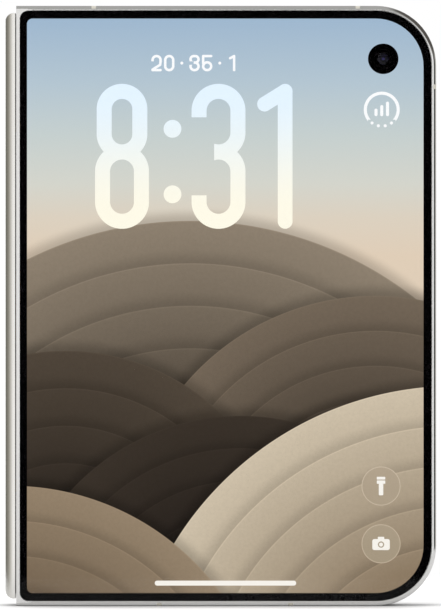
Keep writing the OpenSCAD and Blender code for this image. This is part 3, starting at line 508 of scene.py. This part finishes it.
clearGlass, s, body = newMaterial("clearGlass", Transmission_Weight=1.0, IOR=1.08)
marks = s.group("glassMarks", Clean=0.0, Marked=0.015)
s.put(body["Base Color"], white)
s.put(body["Roughness"], marks["Roughness"])

lensGlass, s, body = newMaterial("lensGlass", Transmission_Weight=1.0, IOR=1.24)
marks = s.group("glassMarks", Clean=0.0, Marked=0.02)
s.put(body["Base Color"], s.mix(marks["Dust"], (0.93, 0.94, 0.98, 1), (0.8, 0.8, 0.82, 1)))
s.put(body["Roughness"], marks["Roughness"])

backGlass, s, body = newMaterial("satinBackGlass", Coat_Weight=0.35, Coat_Roughness=0.12, IOR=1.5)
marks = s.group("glassMarks", Clean=0.3, Marked=0.42)
tone = s.group("mottle", Colour=linear(226, 223, 215), Scale=2600.0, Amount=0.05)
edge = s.group("edgeWear", Radius=0.00012, Height=tone["Height"], Depth=0.000002)
s.put(body["Base Color"], s.mix(marks["Dust"], tone["Colour"], linear(236, 234, 228)))
s.put(body["Roughness"], marks["Roughness"])
s.put(body["Normal"], edge["Normal"])

foldingScreen, s, body = newMaterial("foldingScreen", Coat_Weight=0.15, Coat_Roughness=0.06,
                                     IOR=1.3)
marks = s.group("glassMarks", Clean=0.12, Marked=0.26)
tone = s.group("mottle", Colour=linear(15, 15, 19), Scale=500.0, Amount=0.25)
s.put(body["Base Color"], s.mix(marks["Dust"], tone["Colour"], linear(40, 40, 44)))
s.put(body["Roughness"], marks["Roughness"])

flashLook = {"cellScale": 2600.0, "cellEdge": (0.1, 0.7), "bump": 0.6, "bumpDepth": 0.00005,
             "cloudScale": 3000.0, "roughness": (0.12, 0.3)}
flashLens, s, body = newMaterial("flashLens", IOR=1.5, Coat_Weight=0.8)
cells = s.node("ShaderNodeTexVoronoi", {"Vector": s.point(), "Scale": flashLook["cellScale"]},
               feature="F1").outputs["Distance"]
s.put(body["Base Color"], s.mix(s.steps(cells, *flashLook["cellEdge"]),
                                linear(243, 236, 210), linear(226, 212, 156)))
s.put(body["Roughness"], s.steps(s.noise(flashLook["cloudScale"]), 0.3, 0.7,
                                 *flashLook["roughness"]))
bump = s.node("ShaderNodeBump", {"Strength": flashLook["bump"], "Height": cells,
                                 "Distance": flashLook["bumpDepth"]})
s.put(body["Normal"], bump.outputs[0])
print("materials ready:", len(bpy.data.materials))


# the cover screen's picture: stacked paper rings under a plain gradient, in mm
picture = {
    "glow": 1.0, "backMask": (-0.5, -0.9), "setBack": 0.08,    # the lit face leaves room for signs
    "skyRange": (70, 118),
    "sky": [(0.0, linear(224, 206, 184)), (0.16, linear(220, 209, 192)),
            (0.3, linear(212, 213, 204)), (0.5, linear(198, 208, 207)),
            (0.72, linear(180, 198, 210)), (1.0, linear(158, 183, 207))],
    "fibreScale": 1600.0, "fibre": (0.975, 1.025), "cutEdge": (-0.04, 0.08),
    "ringsDeep": 4.5, "ringShadow": 0.2, "ringShadowFrom": 0.62,
    "ringEdge": 0.13, "ringEdgeWidth": 0.045, "ringDip": 0.03, "dropShadow": 0.34, "dropReach": 3.0,
    # middle across and up, radius and ring width, colour of the outer and the inner rings
    "discs": [
        (-6, 4, 73, 8.5, (143, 130, 113), (74, 65, 55)),
        (31, 12, 50, 7.0, (116, 103, 88), (58, 50, 42)),
        (-31, 6, 45, 7.5, (80, 70, 59), (38, 32, 27)),
        (4, -8, 46, 6.5, (58, 50, 42), (30, 25, 22)),
        (47, -22, 66, 8.0, (208, 194, 171), (142, 124, 101)),
        (-42, -28, 52, 7.0, (150, 132, 109), (96, 80, 63))]}

litScreen, s, body = newMaterial("litScreen", Roughness=0.04, IOR=1.2,
                                 Emission_Strength=picture["glow"])
axes = s.parts(s.point())
x = s.math("MULTIPLY", axes["X"], 1 / mm)
z = s.math("MULTIPLY", axes["Z"], 1 / mm)
fibre = s.steps(s.noise(picture["fibreScale"], detail=3, roughness=0.6), 0.3, 0.7,
                *picture["fibre"])
colour = s.ramp(s.steps(z, *picture["skyRange"], smooth=False), picture["sky"])
for middleX, middleZ, radius, width, outer, inner in picture["discs"]:
    acrossX, upZ = s.math("SUBTRACT", x, middleX), s.math("SUBTRACT", z, middleZ)
    square = s.math("MULTIPLY_ADD", acrossX, acrossX, s.math("MULTIPLY", upZ, upZ))
    down = s.math("SUBTRACT", radius, s.math("SQRT", square))
    part = s.math("FRACT", s.math("MULTIPLY", down, 1 / width))
    tone = s.ramp(s.steps(down, 0.0, picture["ringsDeep"] * width, smooth=False),
                  [(0.0, linear(*outer)), (1.0, linear(*inner))])
    shade = s.steps(part, picture["ringShadowFrom"], 1.0, 1.0, 1.0 - picture["ringShadow"])
    shine = s.steps(part, picture["ringEdgeWidth"], 0.0, -picture["ringDip"], picture["ringEdge"])
    light = s.math("ADD", s.math("MULTIPLY", shade, fibre), shine)
    shadow = s.steps(down, -picture["dropReach"], 0.0, 1.0, 1.0 - picture["dropShadow"])
    light, shadow = (s.node("ShaderNodeCombineColor", {0: value, 1: value, 2: value}).outputs[0]
                     for value in (light, shadow))
    colour = s.mix(s.steps(down, *picture["cutEdge"]), s.mix(1.0, colour, shadow, "MULTIPLY"),
                   s.mix(1.0, tone, light, "MULTIPLY"))
s.put(body["Base Color"], (0.002, 0.002, 0.002, 1))
front = s.steps(s.facing(), *picture["backMask"])    # only the panel's front is lit
s.put(body["Emission Color"], s.mix(front, (0, 0, 0, 1), colour))

screenFaceY = screenLow.y + picture["setBack"] * mm
bm = bmesh.new()
bm.from_mesh(nodes["cover_screen"].data)
bmesh.ops.remove_doubles(bm, verts=bm.verts, dist=weld)
frontVerts = [v for v in bm.verts if v.co.y < (screenLow.y + screenHigh.y) / 2]
bmesh.ops.translate(bm, verts=frontVerts, vec=(0, picture["setBack"] * mm, 0))
bmesh.ops.dissolve_limit(bm, angle_limit=0.01, verts=bm.verts, edges=bm.edges)
panel = makePiece("litPanel", bm, litScreen, "front_half")
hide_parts("cover_screen")

# the border is printed into the glass's inner face, in mm
inkBorder = {"windowLeft": 1.1, "windowRight": 9.6, "glassLeft": 1.67, "glassRight": 10.9,
             "front": -0.05, "back": -0.015, "overlap": 0.05, "inset": 0.03}
bm = bmesh.new()
inset, gap = inkBorder["inset"] * mm, inkBorder["overlap"] * mm
inkY = innerY + inkBorder["front"] * mm
flatRect(bm, glassLow.x + inset, glassHigh.x - inset, glassLow.z + inset, glassHigh.z - inset,
         inkY, inkBorder["glassLeft"] * mm, inkBorder["glassRight"] * mm)
flatRect(bm, screenLow.x + gap, screenHigh.x - gap, screenLow.z + gap, screenHigh.z - gap,
         inkY, inkBorder["windowLeft"] * mm, inkBorder["windowRight"] * mm)
bmesh.ops.delete(bm, geom=bm.faces[:], context="FACES_ONLY")
bmesh.ops.triangle_fill(bm, edges=bm.edges[:], use_beauty=True, normal=(0, 1, 0))
thicken(bm, (inkBorder["back"] - inkBorder["front"]) * mm)
makePiece("inkBorder", bm, inkBlack, "front_half")
print("cover screen picture and border done")


# signs on the cover screen: clock, small line, bar, gauge and two round buttons, in mm
signs = {"faceGap": 0.02, "thickness": 0.02, "glow": 1.06}
signY = screenFaceY - signs["faceGap"] * mm


def glowMaterial(name, top, foot, zTop, zFoot, scale=700.0, amount=0.03):
    material, s, body = newMaterial(name, Roughness=0.4, Specular_IOR_Level=0.0,
                                    Emission_Strength=signs["glow"])
    height = s.parts(s.point())["Z"]
    colour = s.mix(s.steps(height, zFoot * mm, zTop * mm), foot, top)
    grain = s.group("mottle", Colour=colour, Scale=scale, Amount=amount)
    s.put(body["Base Color"], (0.01, 0.01, 0.01, 1))
    s.put(body["Emission Color"], grain["Colour"])
    return material


digitGlow = glowMaterial("digitGlow", linear(222, 238, 250), linear(248, 244, 226), 104, 78)
signGlow = glowMaterial("signGlow", linear(244, 246, 248), linear(240, 236, 228), 118, 0)

# shares of a digit's height, width or stroke
glyph = {"waist": 0.53, "upperBowl": 0.94, "shoulder": 0.62, "mouth": 0.08,
         "twoBowl": 1.15, "twoBend": 0.95, "twoPull": 0.9, "twoFoot": 0.7,
         "stemShift": 0.16, "flagReach": 0.22, "flagDrop": 1.35,
         "fiveBowl": 0.62, "fiveMouth": 0.05, "fiveLow": 0.6, "fiveHigh": 0.45, "fiveNeck": 0.5}


def ringDigit(bm, cx, z0, z1, width, stroke, bite=None):
    made = bmesh.new()
    stadium(made, cx, (z0 + z1) / 2, width, z1 - z0, signY, stroke)
    if bite:
        cutAway(made, *bite)
    addTo(bm, made)


def drawEight(bm, cx, z0, z1, width, stroke):
    middle = z0 + (z1 - z0) * glyph["waist"]
    ringDigit(bm, cx, middle - stroke / 2, z1, width * glyph["upperBowl"], stroke)
    ringDigit(bm, cx, z0, middle + stroke / 2, width, stroke)


def drawThree(bm, cx, z0, z1, width, stroke):
    middle = z0 + (z1 - z0) * glyph["waist"]
    shoulder = width * glyph["shoulder"]
    bite = (cx - width, cx - width * glyph["mouth"], z0 + shoulder, z1 - shoulder)
    ringDigit(bm, cx, middle - stroke / 2, z1, width, stroke, bite)
    ringDigit(bm, cx, z0, middle + stroke / 2, width, stroke, bite)


def drawTwo(bm, cx, z0, z1, width, stroke):
    shoulder = z1 - width * glyph["shoulder"]
    bend = z1 - width * glyph["twoBend"]
    half = width / 2 - stroke / 2
    pulled = cx + half * glyph["twoPull"]
    ringDigit(bm, cx, z1 - width * glyph["twoBowl"], z1, width, stroke,
              (cx - width, cx + width, z0, shoulder))
    bar(bm, cx + half, shoulder, pulled, bend, stroke, signY)
    bar(bm, pulled, bend, cx - half, z0 + stroke * glyph["twoFoot"], stroke, signY)
    bar(bm, cx - half, z0 + stroke / 2, cx + half, z0 + stroke / 2, stroke, signY)


def drawOne(bm, cx, z0, z1, width, stroke):
    stem = cx + width * glyph["stemShift"]
    bar(bm, stem, z0 + stroke / 2, stem, z1 - stroke / 2, stroke, signY)
    bar(bm, stem, z1 - stroke / 2, cx - width * glyph["flagReach"],
        z1 - stroke * glyph["flagDrop"], stroke, signY)


def drawFive(bm, cx, z0, z1, width, stroke):
    half = width / 2 - stroke / 2
    bowl = z0 + (z1 - z0) * glyph["fiveBowl"]
    ringDigit(bm, cx, z0, bowl, width, stroke,
              (cx - width, cx - width * glyph["fiveMouth"], z0 + width * glyph["fiveLow"],
               bowl - width * glyph["fiveHigh"]))
    neck = z0 + (z1 - z0) * glyph["fiveNeck"]
    bar(bm, cx - half, neck, cx - half, z1 - stroke / 2, stroke, signY)
    bar(bm, cx - half, z1 - stroke / 2, cx + half, z1 - stroke / 2, stroke, signY)


digitShapes = {"0": ringDigit, "1": drawOne, "2": drawTwo, "3": drawThree, "5": drawFive,
               "8": drawEight}

clock = {"digits": (("8", -19.7), ("3", -0.4), ("1", 11.2)), "width": 10.8, "stroke": 3.0,
         "foot": 75.4, "top": 104.4, "dotX": -9.6, "dotHeights": (95.4, 82.3), "dotSize": 3.56}
bm = bmesh.new()
for digit, cx in clock["digits"]:
    digitShapes[digit](bm, cx * mm, clock["foot"] * mm, clock["top"] * mm, clock["width"] * mm,
                       clock["stroke"] * mm)
for cz in clock["dotHeights"]:
    stadium(bm, clock["dotX"] * mm, cz * mm, clock["dotSize"] * mm, clock["dotSize"] * mm, signY)
thicken(bm, signs["thickness"] * mm)
makePiece("clockDigits", bm, digitGlow, "front_half")

smallLine = {"text": "20.35.1", "middle": -5.2, "pitch": 2.53, "foot": 106.9, "top": 110.2,
             "width": 2.1, "stroke": 0.5, "dotHeight": 108.55, "dotSize": 0.6}
footBar = {"middleX": 0.99, "middleZ": 4.53, "length": 28.3, "height": 1.0}
bm = bmesh.new()
for step, digit in enumerate(smallLine["text"]):
    cx = (smallLine["middle"] + (step - 3) * smallLine["pitch"]) * mm
    if digit == ".":
        stadium(bm, cx, smallLine["dotHeight"] * mm, smallLine["dotSize"] * mm,
                smallLine["dotSize"] * mm, signY, segments=8)
    else:
        digitShapes[digit](bm, cx, smallLine["foot"] * mm, smallLine["top"] * mm,
                           smallLine["width"] * mm, smallLine["stroke"] * mm)
stadium(bm, footBar["middleX"] * mm, footBar["middleZ"] * mm, footBar["length"] * mm,
        footBar["height"] * mm, signY, segments=10)
thicken(bm, signs["thickness"] * mm)
makePiece("smallSigns", bm, signGlow, "front_half")

# the first pixel of the phone in the photograph, the size of a pixel, and the phone's corner
photo = {"left": 4.7, "top": 6.3, "across": 0.20014, "down": 0.20023, "cornerX": -43.2,
         "cornerZ": 120}


def pixelPlace(px, py):              # the photograph's pixel as a place on the cover screen
    return ((photo["cornerX"] + (px - photo["left"]) * photo["across"]) * mm,
            (photo["cornerZ"] - (py - photo["top"]) * photo["down"]) * mm)


# a ring with a gap at its foot, dots in the gap, and three rising bars inside
gauge = {"pixel": (381.7, 110), "size": 7.2, "stroke": 0.62, "gapHalf": 2.75,
         "gapTop": 2.0, "gapFoot": 4.5, "dotReach": 3.3, "dotAngles": (-36, -12, 12, 36),
         "bars": (0.9, 1.6, 2.3), "barPitch": 1.15, "barFoot": 1.0}
bm = bmesh.new()
cx, cz = pixelPlace(*gauge["pixel"])
stroke = gauge["stroke"] * mm
stadium(bm, cx, cz, gauge["size"] * mm, gauge["size"] * mm, signY, stroke, segments=32)
cutAway(bm, cx - gauge["gapHalf"] * mm, cx + gauge["gapHalf"] * mm,
        cz - gauge["gapFoot"] * mm, cz - gauge["gapTop"] * mm)
for angle in gauge["dotAngles"]:
    dotX = cx + gauge["dotReach"] * mm * math.sin(math.radians(angle))
    dotZ = cz - gauge["dotReach"] * mm * math.cos(math.radians(angle))
    stadium(bm, dotX, dotZ, stroke, stroke, signY, segments=8)
for step, height in enumerate(gauge["bars"]):
    barX = cx + (step - 1) * gauge["barPitch"] * mm
    bar(bm, barX, cz - gauge["barFoot"] * mm, barX, cz + (height - gauge["barFoot"]) * mm, stroke,
        signY)
thicken(bm, signs["thickness"] * mm)
makePiece("statusGauge", bm, signGlow, "front_half")

# round buttons; a pictogram's blocks are (left, right, low, high, corner radius, segments)
buttons = {"lampPixel": (381, 486), "cameraPixel": (381, 543.7), "size": 7.8, "discInset": 0.1,
           "rimStroke": 0.16, "rimLift": 0.004, "thickness": 0.01,
           "pictogramLift": 0.006, "pictogramThickness": 0.008,
           "lampBlocks": [(-0.85, 0.85, 1.3, 1.85, 0.12, 3), (-0.85, 0.85, 0.45, 1.12, 0.1, 3),
                          (-0.45, 0.45, -1.85, 0.5, 0.2, 3)],
           "cameraBlocks": [(-1.75, 1.75, -1.25, 0.95, 0.4, 4),
                            (-0.65, 0.65, 0.9, 1.4, 0.15, 3)],
           "lensDrop": 0.15, "lensSize": 1.25, "lensStroke": 0.22, "lensLift": 0.006,
           "lensThickness": 0.004}
discGlow = glowMaterial("discGlow", linear(172, 157, 136), linear(160, 146, 124), 30, 6,
                        scale=120.0, amount=0.08)
rimGlow = glowMaterial("discRimGlow", linear(196, 182, 160), linear(186, 170, 148), 30, 5)

discs, rims, pictograms = bmesh.new(), bmesh.new(), bmesh.new()
size = buttons["size"] * mm
discSize = size - buttons["discInset"] * mm
topY = signY - buttons["pictogramLift"] * mm
for sign in ("lamp", "camera"):
    cx, cz = pixelPlace(*buttons[sign + "Pixel"])
    stadium(discs, cx, cz, discSize, discSize, signY, segments=32)
    stadium(rims, cx, cz, size, size, signY - buttons["rimLift"] * mm,
            buttons["rimStroke"] * mm, segments=32)
    for left, right, low, high, radius, segments in buttons[sign + "Blocks"]:
        flatRect(pictograms, cx + left * mm, cx + right * mm, cz + low * mm, cz + high * mm, topY,
                 radius * mm, radius * mm, segments)
thicken(discs, buttons["thickness"] * mm)
thicken(rims, buttons["thickness"] * mm)
thicken(pictograms, buttons["pictogramThickness"] * mm)
makePiece("buttonDiscs", discs, discGlow, "front_half")
makePiece("buttonDiscRims", rims, rimGlow, "front_half")
makePiece("buttonPictograms", pictograms, signGlow, "front_half")
lensMark = bmesh.new()               # the round lens on the camera pictogram
lensSize = buttons["lensSize"] * mm
stadium(lensMark, cx, cz - buttons["lensDrop"] * mm, lensSize, lensSize,
        topY - buttons["lensLift"] * mm, buttons["lensStroke"] * mm, segments=16)
thicken(lensMark, buttons["lensThickness"] * mm)
makePiece("pictogramLens", lensMark, discGlow, "front_half")
print("cover screen signs done")


# cover camera; steps are (radius, depth behind the glass), the painted glint spot's steps start at
# the dome's top
coverLens = {"steps": [(3.0, 0.06), (2.3, 0.08), (2.1, 0.3), (1.7, 0.34), (1.55, 0.5),
                       (1.15, 0.55), (1.15, 0.6)],
             "barrelRadius": 2.4, "barrelFront": 0.6, "flangeRadius": 2.95, "baseDepth": 1.0,
             "domeRadius": 1.2, "domeFoot": 0.58, "domeHeight": 0.3,
             "glintSpotSteps": [(0.3, 0.02), (0.3, -0.01), (0.18, -0.03), (0, -0.035)]}
# the coated lens's violet base colour, mottled by noise and bluer towards its rim by facing, is a
# painted glint and sheen of its coating
lensCoatPaintedGlint, s, body = newMaterial("coatedLensPaintedGlint", Roughness=0.08, IOR=1.22, Coat_Weight=0.05,
                                Coat_Roughness=0.03)
paintedGlint = s.steps(s.noise(300.0, detail=1), 0.3, 0.7)
rim = s.node("ShaderNodeLayerWeight", {"Blend": 0.35}).outputs["Facing"]
violet = s.mix(paintedGlint, linear(8, 7, 22), linear(12, 9, 28))
s.put(body["Base Color"], s.mix(rim, violet, linear(6, 12, 28)))
# a bluish spot for the dome's top: a painted glint
paintedGlintSpot, s, body = newMaterial("paintedGlintSpot", Roughness=0.2, IOR=1.3)
s.put(body["Base Color"], s.mix(s.steps(s.noise(900.0, detail=2), 0.35, 0.65),
                                linear(34, 32, 74), linear(46, 42, 92)))
camLow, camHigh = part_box("cover_camera")
centre = ((camLow.x + camHigh.x) / 2, (camLow.z + camHigh.z) / 2)
seat = 2 * (camHigh.x - centre[0])
barrelFoot = (coverLens["barrelRadius"], innerY + coverLens["barrelFront"] * mm)
baseY = camHigh.y - coverLens["baseDepth"] * mm
bm = bmesh.new()                     # barrel with its stepped cone
turned(bm, [barrelFoot, (coverLens["barrelRadius"], baseY), (coverLens["flangeRadius"], baseY)]
       + [(r, innerY + d * mm) for r, d in coverLens["steps"]] + [barrelFoot], centre)
base = bmesh.ops.create_cube(bm, size=1)["verts"]
baseMiddle = Matrix.Translation((centre[0], camHigh.y - coverLens["baseDepth"] / 2 * mm, centre[1]))
bmesh.ops.transform(bm, verts=base, matrix=baseMiddle
                    @ Matrix.Diagonal((seat, coverLens["baseDepth"] * mm, seat, 1)))
cone = makePiece("coverLensBarrel", bm, lensWell, "front_half", smooth=True)
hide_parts("cover_camera")
bm = bmesh.new()
turned(bm, [(coverLens["domeRadius"] * math.cos(a),
             innerY + (coverLens["domeFoot"] - coverLens["domeHeight"] * math.sin(a)) * mm)
            for a in domeArc], centre)
makePiece("coverLensDome", bm, lensCoatPaintedGlint, "front_half", smooth=True)
bm = bmesh.new()                     # a low button on the top of the dome, its bluish colour a painted glint
top = innerY + (coverLens["domeFoot"] - coverLens["domeHeight"]) * mm
turned(bm, [(r, top + d * mm) for r, d in coverLens["glintSpotSteps"]], centre, steps=24)
makePiece("coverLensGlintSpot", bm, paintedGlintSpot, "front_half", smooth=True)
print("cover camera done")


# rear cameras; baffle steps are (radius, depth behind the lens's inner face)
rearLens = {"baffle": [(5.0, 0.1), (4.2, 0.35), (3.6, 0.35), (3.3, 0.65), (2.7, 0.65),
                       (2.6, 0.85)],
            "edgeGap": 0.05, "domeRadius": 2.6, "domeFoot": 0.75, "domeHeight": 0.5}
lensLow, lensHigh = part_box("camera_lenses")
lensRadius = (lensHigh.z - lensLow.z) / 2
lensMiddleZ = (lensLow.z + lensHigh.z) / 2
baffles, domes = bmesh.new(), bmesh.new()
for lensX in (lensLow.x + lensRadius, lensHigh.x - lensRadius):
    centre = (lensX, lensMiddleZ)
    rimPoint = (lensRadius / mm - rearLens["edgeGap"], lensLow.y - rearLens["edgeGap"] * mm)
    turned(baffles, [rimPoint] + [(r, lensLow.y - d * mm) for r, d in rearLens["baffle"]], centre)
    turned(domes, [(rearLens["domeRadius"] * math.cos(a),
                    lensLow.y - (rearLens["domeFoot"] - rearLens["domeHeight"] * math.sin(a)) * mm)
                   for a in domeArc], centre)
makePiece("lensBaffles", baffles, cameraBlack, "rear_half", smooth=True)
makePiece("lensDomes", domes, lensCoatPaintedGlint, "rear_half", smooth=True)
print("rear cameras done")


# folding screen and ribbon cable, each a loop round the hinge with a straight leg to either half
fold = {"edgeGap": 0.72, "radius": 1.2, "tilt": 8.0, "pastMiddle": 0.08, "half": 0.225,
        "thickness": 0.18,           # thinner at the back, clear of the wing plates
        "overlap": 0.05, "start": (-0.677, -0.982), "end": (2.045, 2.965)}
ribbonLoop = {"middle": 1.0, "radius": 1.95, "legEnd": 11.0, "start": -0.5, "end": 2.5,
              "thickness": 0.14}
sheetSteps = {"bend": 18, "leg": 10}
foldEdge = glassLow.x - fold["edgeGap"] * mm
flatMiddle = (flatLow.y + flatHigh.y) / 2 / mm


def bentSheet(side, middleX, radius, past, sweep, leg, lowZ, highZ, thickness):
    bm = bmesh.new()                 # half of a loop round the hinge, then a straight leg
    start = bm.verts.new((middleX - radius * math.cos(past), -side * radius * math.sin(past),
                          lowZ))
    swept = bmesh.ops.spin(bm, geom=[start], cent=(middleX, 0, lowZ), axis=(0, 0, -side),
                           angle=sweep + past, steps=sheetSteps["bend"], use_merge=False)
    last = [g for g in swept["geom_last"] if isinstance(g, bmesh.types.BMVert)]
    tilt = sweep - math.pi / 2
    stride = leg / sheetSteps["leg"]
    for step in range(sheetSteps["leg"]):
        last = bmesh.ops.extrude_vert_indiv(bm, verts=last)["verts"]
        bmesh.ops.translate(bm, verts=last, vec=(stride * math.cos(tilt),
                                                 -side * stride * math.sin(tilt), 0))
    made = bmesh.ops.extrude_edge_only(bm, edges=bm.edges[:])
    top = [g for g in made["geom"] if isinstance(g, bmesh.types.BMVert)]
    bmesh.ops.translate(bm, verts=top, vec=(0, 0, highZ - lowZ))
    bmesh.ops.remove_doubles(bm, verts=bm.verts, dist=weld)
    bmesh.ops.recalc_face_normals(bm, faces=bm.faces)
    bm.normal_update()
    if min(bm.faces, key=lambda f: f.calc_center_median().x).normal.x < 0:
        bmesh.ops.reverse_faces(bm, faces=bm.faces)
    bmesh.ops.solidify(bm, geom=bm.faces[:], thickness=thickness)    # grows away from the loop
    return bm


def foldStrip(name, side):
    low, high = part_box("inner_screen_fold")
    tilt = math.radians(fold["tilt"])
    leg = (fold["radius"] * math.cos(tilt) - flatMiddle) / math.sin(tilt) * mm
    leg += fold["overlap"] * mm
    bm = bentSheet(side, low.x + (fold["radius"] + fold["half"]) * mm,
                   (fold["radius"] - fold["half"]) * mm, fold["pastMiddle"] / fold["radius"],
                   math.pi / 2 + tilt, leg, low.z, high.z, fold["thickness"] * mm)
    strip = makePiece(name, bm, foldingScreen, None, smooth=True, sharpAngle=50)
    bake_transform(strip)
    return strip


def ribbonHalf(name, side):
    low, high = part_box("hinge_flex")
    bm = bentSheet(side, foldEdge + ribbonLoop["middle"] * mm,
                   (ribbonLoop["radius"] - ribbonLoop["thickness"] / 2) * mm, 0, math.pi / 2,
                   (ribbonLoop["legEnd"] - ribbonLoop["middle"]) * mm, low.z, high.z,
                   ribbonLoop["thickness"] * mm)
    half = makePiece(name, bm, ribbon, None, smooth=True, sharpAngle=50)
    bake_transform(half)
    return half


strips = [foldStrip("foldStripRear", 1), foldStrip("foldStripFront", -1)]
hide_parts("inner_screen_fold")
ribbons = [ribbonHalf("ribbonRear", 1), ribbonHalf("ribbonFront", -1)]
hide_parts("hinge_flex")
print("folding screen done")


# finishes of the CAD nodes
finishes = {
    framePolish: ["rear_frame", "front_frame", "camera_plateau", "power_button",
                  "volume_up_button", "volume_down_button"],
    spinePolish: ["spine_cover"],
    ringPolish: ["camera_rings"],
    plateMetal: ["rear_mid_plate", "front_mid_plate", "wing_plate_rear", "wing_plate_front"],
    steel: ["rotors_rear", "rotors_front", "sync_guides_rear", "sync_guides_front",
            "hinge_bracket_upper", "hinge_bracket_lower"],
    gearSteel: ["gear_pins", "sync_arms_rear", "sync_arms_front", "idler_gears_rear",
                "idler_gears_front"],
    screwSteel: ["hinge_screws_rear", "hinge_screws_front", "bottom_screws"],
    shieldSteel: ["board_shields", "charging_port", "button_switches", "haptic_motor"],
    copper: ["charging_coil"],
    magnetCoat: ["magnets_rear", "magnets_front"],
    bandPlastic: ["antenna_bands_rear", "antenna_bands_front"],
    rimPlastic: ["screen_rim_rear", "screen_rim_front"],
    rubber: ["rim_bumpers"],
    cameraBlack: ["camera_modules", "cover_camera", "inner_camera", "loudspeaker", "earpiece"],
    boardGreen: ["main_board", "front_board"],
    batteryWrap: ["rear_battery", "front_battery"],
    ribbon: ["hinge_flex"],
    tongueBlack: ["port_tongue"],
    clearGlass: ["cover_glass"],
    lensGlass: ["camera_lenses"],
    backGlass: ["rear_glass"],
    flashLens: ["flash"],
    foldingScreen: ["inner_screen_rear", "inner_screen_front", "inner_screen_fold"],
    litScreen: ["cover_screen"],
}
finished = set()
for material, names in finishes.items():
    for name in names:
        slots = nodes[name].data.materials
        slots.clear()
        slots.append(material)
        finished.add(name)
print("CAD nodes without a finish:", sorted(set(nodes) - finished))
